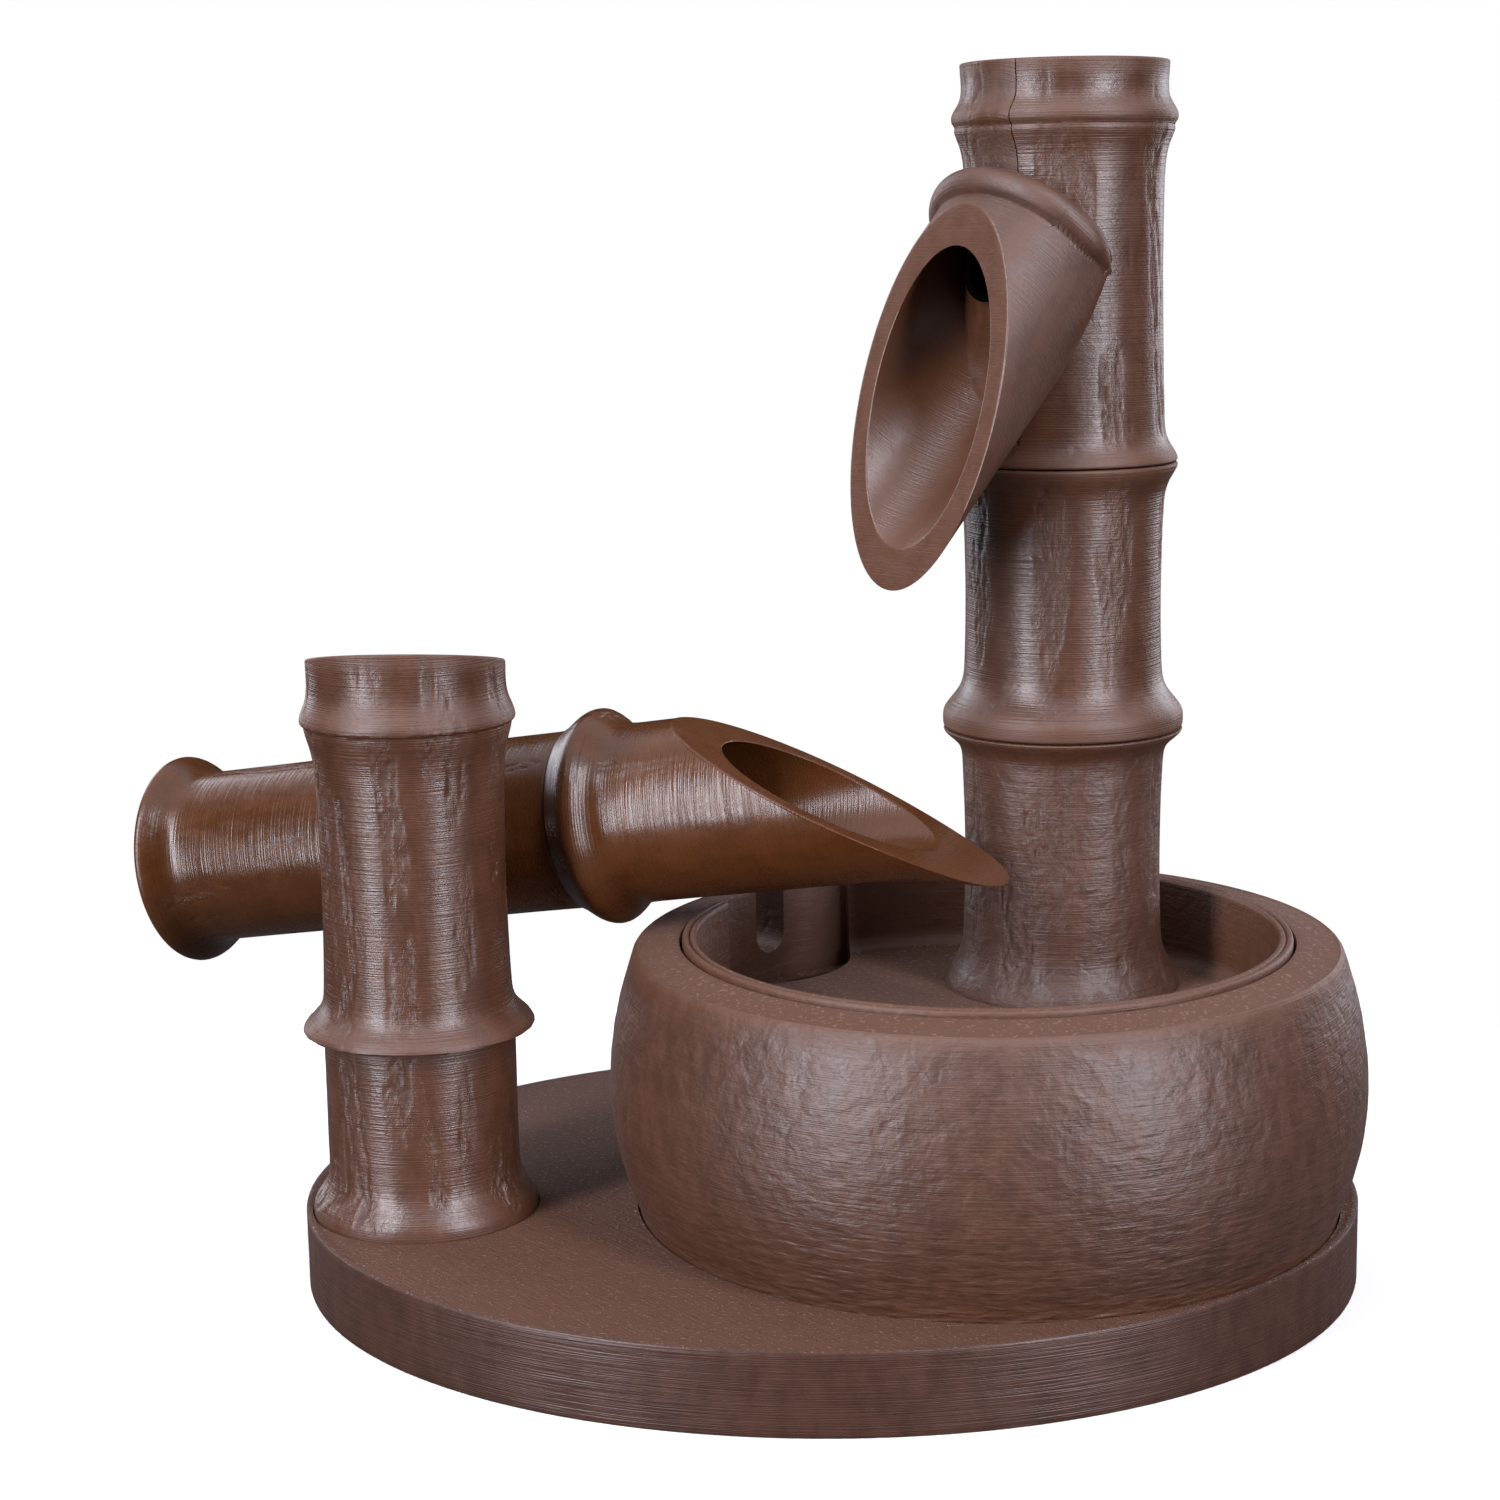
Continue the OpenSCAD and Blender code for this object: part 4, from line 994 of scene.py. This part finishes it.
heights = np.linspace(PLATE_T, BROW_Z - BROW_EDGE, BELLY_ROWS)
outline = [(0, BOWL_Z), (FOOT - 0.3, BOWL_Z), (FOOT, BOWL_Z + 0.3), (FOOT, PLATE_T - 1)]
skip = len(outline)
outline += [(float(r), z) for r, z in zip(belly(heights), heights)]
outline += [(BROW_R - 0.15, BROW_Z), (BROW_R - 0.5, BROW_Z + 0.3)]
outline += [(r, BOWL_TOP - (r - MOUTH_R) * TOP_SLOPE)
            for r in np.linspace(BROW_R - 1, MOUTH_R + 0.5, 12)]
outline += [(MOUTH_R + 0.12, BOWL_TOP - 0.1), (MOUTH_R, BOWL_TOP - 0.4), (MOUTH_R, 50),
            (MOUTH_R, LEDGE_Z), (RESERVOIR_R, LEDGE_Z), (RESERVOIR_R, 26),
            (RESERVOIR_R, RESERVOIR_Z), (20, RESERVOIR_Z), (0, RESERVOIR_Z)]
mask = np.zeros(len(outline))
mask[skip:skip + BELLY_ROWS] = (np.clip((heights - PLATE_T) / 3, 0.2, 1)
                                * np.clip((heights[-1] - heights) / 3, 0.0, 1))
bowl = revolve("bowl_shell", outline, BOWL_AT, BOWL_ROUND, mask)
grow(bowl, hammer.nodes, finishes["bowl"])
notch_at = BOWL_AT @ about("Z", BITE_TURN)
notch_z = BOWL_TOP - NOTCH_DEEP + NOTCH_W / 2
cut(bowl, block("notch", (45, -NOTCH_W / 2, notch_z), (70, NOTCH_W / 2, 70), notch_at))
cut(bowl, drum("notch_foot", NOTCH_W / 2, 45, 70, notch_at @ at(0, 0, notch_z) @ about("Y", 90)))
tell(bowl)

# %% [markdown]
# ## The plate
# An oval slab with a thin raised edge. It is made like the bowl, from one outline that goes
# round, and then every turn is squeezed front to back. The bowl's recess and the seat of the
# post are cut out afterwards, because neither is in its middle.

# %% Plate
HALF_LEN, HALF_DEP, EDGE_W, EDGE_H, BEVEL = 89.5, 75.5, 1.1, 0.2, 0.1
RECESS_R, SEAT_R, CUT_TO = 59.2, 19.1, 30


def oval(angle, radius):
    return radius * np.cos(angle), radius * np.sin(angle) * HALF_DEP / HALF_LEN


outline = [(0, 0), (40, 0), (HALF_LEN - 0.4, 0), (HALF_LEN - BEVEL, BEVEL), (HALF_LEN, 0.4)]
outline += [(HALF_LEN, z) for z in np.linspace(1.2, PLATE_T - 1, 12)]
outline += [(HALF_LEN, PLATE_T - 0.35), (HALF_LEN - BEVEL, PLATE_T - BEVEL),
            (HALF_LEN - 0.35, PLATE_T), (HALF_LEN - EDGE_W, PLATE_T),
            (HALF_LEN - EDGE_W - 0.3, PLATE_T - EDGE_H)]
outline += [(r, PLATE_T - EDGE_H) for r in np.linspace(HALF_LEN - 3, 2, 30)]
outline += [(0, PLATE_T - EDGE_H)]
side = [r > HALF_LEN - 0.5 for r, z in outline]
plate = revolve("oval_plate", outline, at(0, 0), ROUND, side, oval)
plate.data.materials.append(finishes["plate"])
cut(plate, drum("recess", RECESS_R, BOWL_Z, CUT_TO, BOWL_AT, ROUND))
cut(plate, drum("seat", SEAT_R, POST_SEAT, CUT_TO, POST_AT, TOOL_ROUND))
tell(plate)

# %% [markdown]
# ## The other finishes
# The pin, the hose and the pump's pieces keep their solids, and each gets a finish for its
# own material. One function makes them all, from a colour, a roughness and the size of their
# grain. The record names every piece's finish, so a dictionary by that name dresses them.

# %% The moulded finish
def moulded(name, base, rough, speck=1.2, relief=0.02, metal=0.0, stretch=(1, 1, 1), varied=0.12,
            gloss=0.5, through=0.0):
    """A finish with fine grain, slight patches, and more or less metal."""
    material, tree, shader = new_finish(name)
    own = own_frame(tree, at(0, 0))
    fine = tree.noise(tree.stretched(own, stretch), speck, detail=4.0, rough=0.6)
    broad = tree.noise(own, 0.12, detail=2.0)
    shade = blend(tree, fine * 0.5 + broad * 0.5, darker(base, 1 - 2 * varied), base)
    bumped = tree.add("ShaderNodeBump", None,
                      {"Strength": 0.5, "Distance": relief * MM, "Height": fine})
    tree.feed(shader, {
        "Base Color": shade, "Roughness": (fine - 0.5) * 0.2 + rough, "Normal": bumped,
        "Metallic": metal, "Specular IOR Level": gloss, "Transmission Weight": through})
    return material


print("one moulded finish, for metal, rubber and plastic")

# %% Dress the solids
by_slot = {
    "brown_print": finishes["post"],
    "saddle_print": finishes["rocker"],
    "steel": moulded("brushed steel", tone(190, 192, 196), 0.3, 2.0, 0.02, 1.0, (6, 6, 0.3)),
    "black_hose": moulded("black hose", tone(6, 6, 6), 0.9, 1.0, 0.02, gloss=0.0),
    "pump_shell": moulded("pump shell", tone(38, 40, 43), 0.5, 2.5, 0.05),
    "slider_blue": moulded("slider blue", tone(52, 108, 160), 0.42, 2.0, 0.03),
    "pump_grey": moulded("pump grey", tone(92, 95, 99), 0.5, 2.2, 0.04),
    "black_rubber": moulded("black rubber", tone(24, 24, 25), 0.7, 1.8, 0.06),
    "white_plastic": moulded("white plastic", tone(226, 226, 222), 0.38, 1.5, 0.02, varied=0.03),
    "ferrite": moulded("ferrite", tone(62, 62, 66), 0.6, 3.5, 0.08, 0.4),
    "ceramic": moulded("ceramic", tone(232, 228, 216), 0.22, 1.0, 0.01, varied=0.03),
    "copper_core": moulded("varnished copper", tone(168, 92, 48), 0.3, 1.6, 0.1, 0.85,
                           (4, 4, 0.4)),
    "soft_clear": moulded("soft clear", tone(206, 212, 214), 0.3, 1.2, 0.02, varied=0.04,
                          through=0.4),
}
slot_of = {s["node"]: s["material_slot"] for s in frame["record"]["subparts"]}
for node, obj in frame["nodes"].items():
    obj.data.materials.clear()
    obj.data.materials.append(by_slot[slot_of[node]])
print("dressed", len(frame["nodes"]), "nodes with", len(by_slot), "finishes")

# %% [markdown]
# ## Each piece in its place
# A dressed piece takes over from one node: it hides that node and rides on its body. The
# node stays in the physics model. The print compares the two boxes, because a dressed piece
# must not grow past its solid.

# %% Rides and replacements
dressed = {
    "base_plate": plate, "bowl": bowl, "basin": basin, "column_middle": column_middle,
    "column_top": column_top, "spout": spout, "post": post, "rocker_tail": tail,
    "rocker_scoop": scoop}
for node, piece in dressed.items():
    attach(piece, "rocker" if node.startswith("rocker") else "stand")
    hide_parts(node)
    co = np.empty(len(piece.data.vertices) * 3)
    piece.data.vertices.foreach_get("co", co)
    co = co.reshape(-1, 3)
    low, high = (np.array(v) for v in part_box(node))
    print(f"{node:14s} box differs by", np.round((co.min(0) - low) / MM, 2),
          np.round((co.max(0) - high) / MM, 2))

# %% [markdown]
# ## The floor
# The undersides of the pieces are almost black in the photograph, so little light came up
# from below. The floor is a small round table, which glows white to the camera only.

# %% A small round floor
FLOOR_R, FLOOR_SIDES, FLOOR_ROUGH = 0.2, 96, 0.9
PALE, BOUNCED, DARK = (0.95, 0.95, 0.95, 1), (0.05, 0.05, 0.05, 1), (0, 0, 0, 1)
GLOW = (0.3, 0.3, 0.3, 1)

turns = [2 * math.pi * i / FLOOR_SIDES for i in range(FLOOR_SIDES)]
floor = mesh_object("floor", [(FLOOR_R * math.cos(a), FLOOR_R * math.sin(a), 0) for a in turns],
                    [tuple(range(FLOOR_SIDES))])
pale, tree, shader = new_finish("pale floor")
seen = tree.add("ShaderNodeLightPath", out="Is Camera Ray")
tree.feed(shader, {"Base Color": blend(tree, seen, BOUNCED, PALE), "Roughness": FLOOR_ROUGH,
                   "Emission Color": blend(tree, seen, DARK, GLOW), "Emission Strength": 1.0})
floor.data.materials.append(pale)
print("floor of", FLOOR_R, "m radius")

# %% [markdown]
# ## Light
# The upright bands of light on the bamboo come from two tall, narrow soft lights at the front
# corners. They reach down past the table's edge, so that the bands run to the foot. A wide
# light above fills the tops, and two weak ones behind keep the back from going black. The
# world is white to the camera and almost dark to everything else.

# %% Lights and world
COOL_WHITE = (0.97, 0.98, 1.08)
MIDDLE = (0.0, 0.0, 0.09)
ROOM_FILL = 0.025


def light(name, place, width, height, power, target=MIDDLE):
    data = bpy.data.lights.new(name, "AREA")
    data.shape, data.size, data.size_y, data.energy = "RECTANGLE", width, height, power
    data.color = COOL_WHITE
    obj = bpy.data.objects.new(name, data)
    bpy.context.scene.collection.objects.link(obj)
    aim = (Vector(target) - Vector(place)).to_track_quat("-Z", "Y")
    obj.matrix_world = Matrix.Translation(Vector(place)) @ aim.to_matrix().to_4x4()


light("left soft light", (-0.67, -0.69, 0.5), 0.2, 1.5, 14)
light("right soft light", (0.66, -0.70, 0.5), 0.2, 1.5, 11.5)
light("left back light", (-0.9, 0.9, 0.4), 0.7, 0.9, 6)
light("right back light", (0.9, 0.9, 0.4), 0.7, 0.9, 6)
light("wide top light", (0.0, 0.2, 1.8), 3.0, 3.0, 22, target=(0, 0.2, 0))
world = bpy.data.worlds.new("pale room")
world.use_nodes = True
room = Tree(world.node_tree)
seen = room.add("ShaderNodeLightPath", out="Is Camera Ray")
room.feed(world.node_tree.nodes["Background"],
          {"Color": (1, 1, 1, 1), "Strength": seen * (1.0 - ROOM_FILL) + ROOM_FILL})
bpy.context.scene.world = world
bpy.context.scene.view_settings.view_transform = "Standard"
print("five soft lights and a pale room")
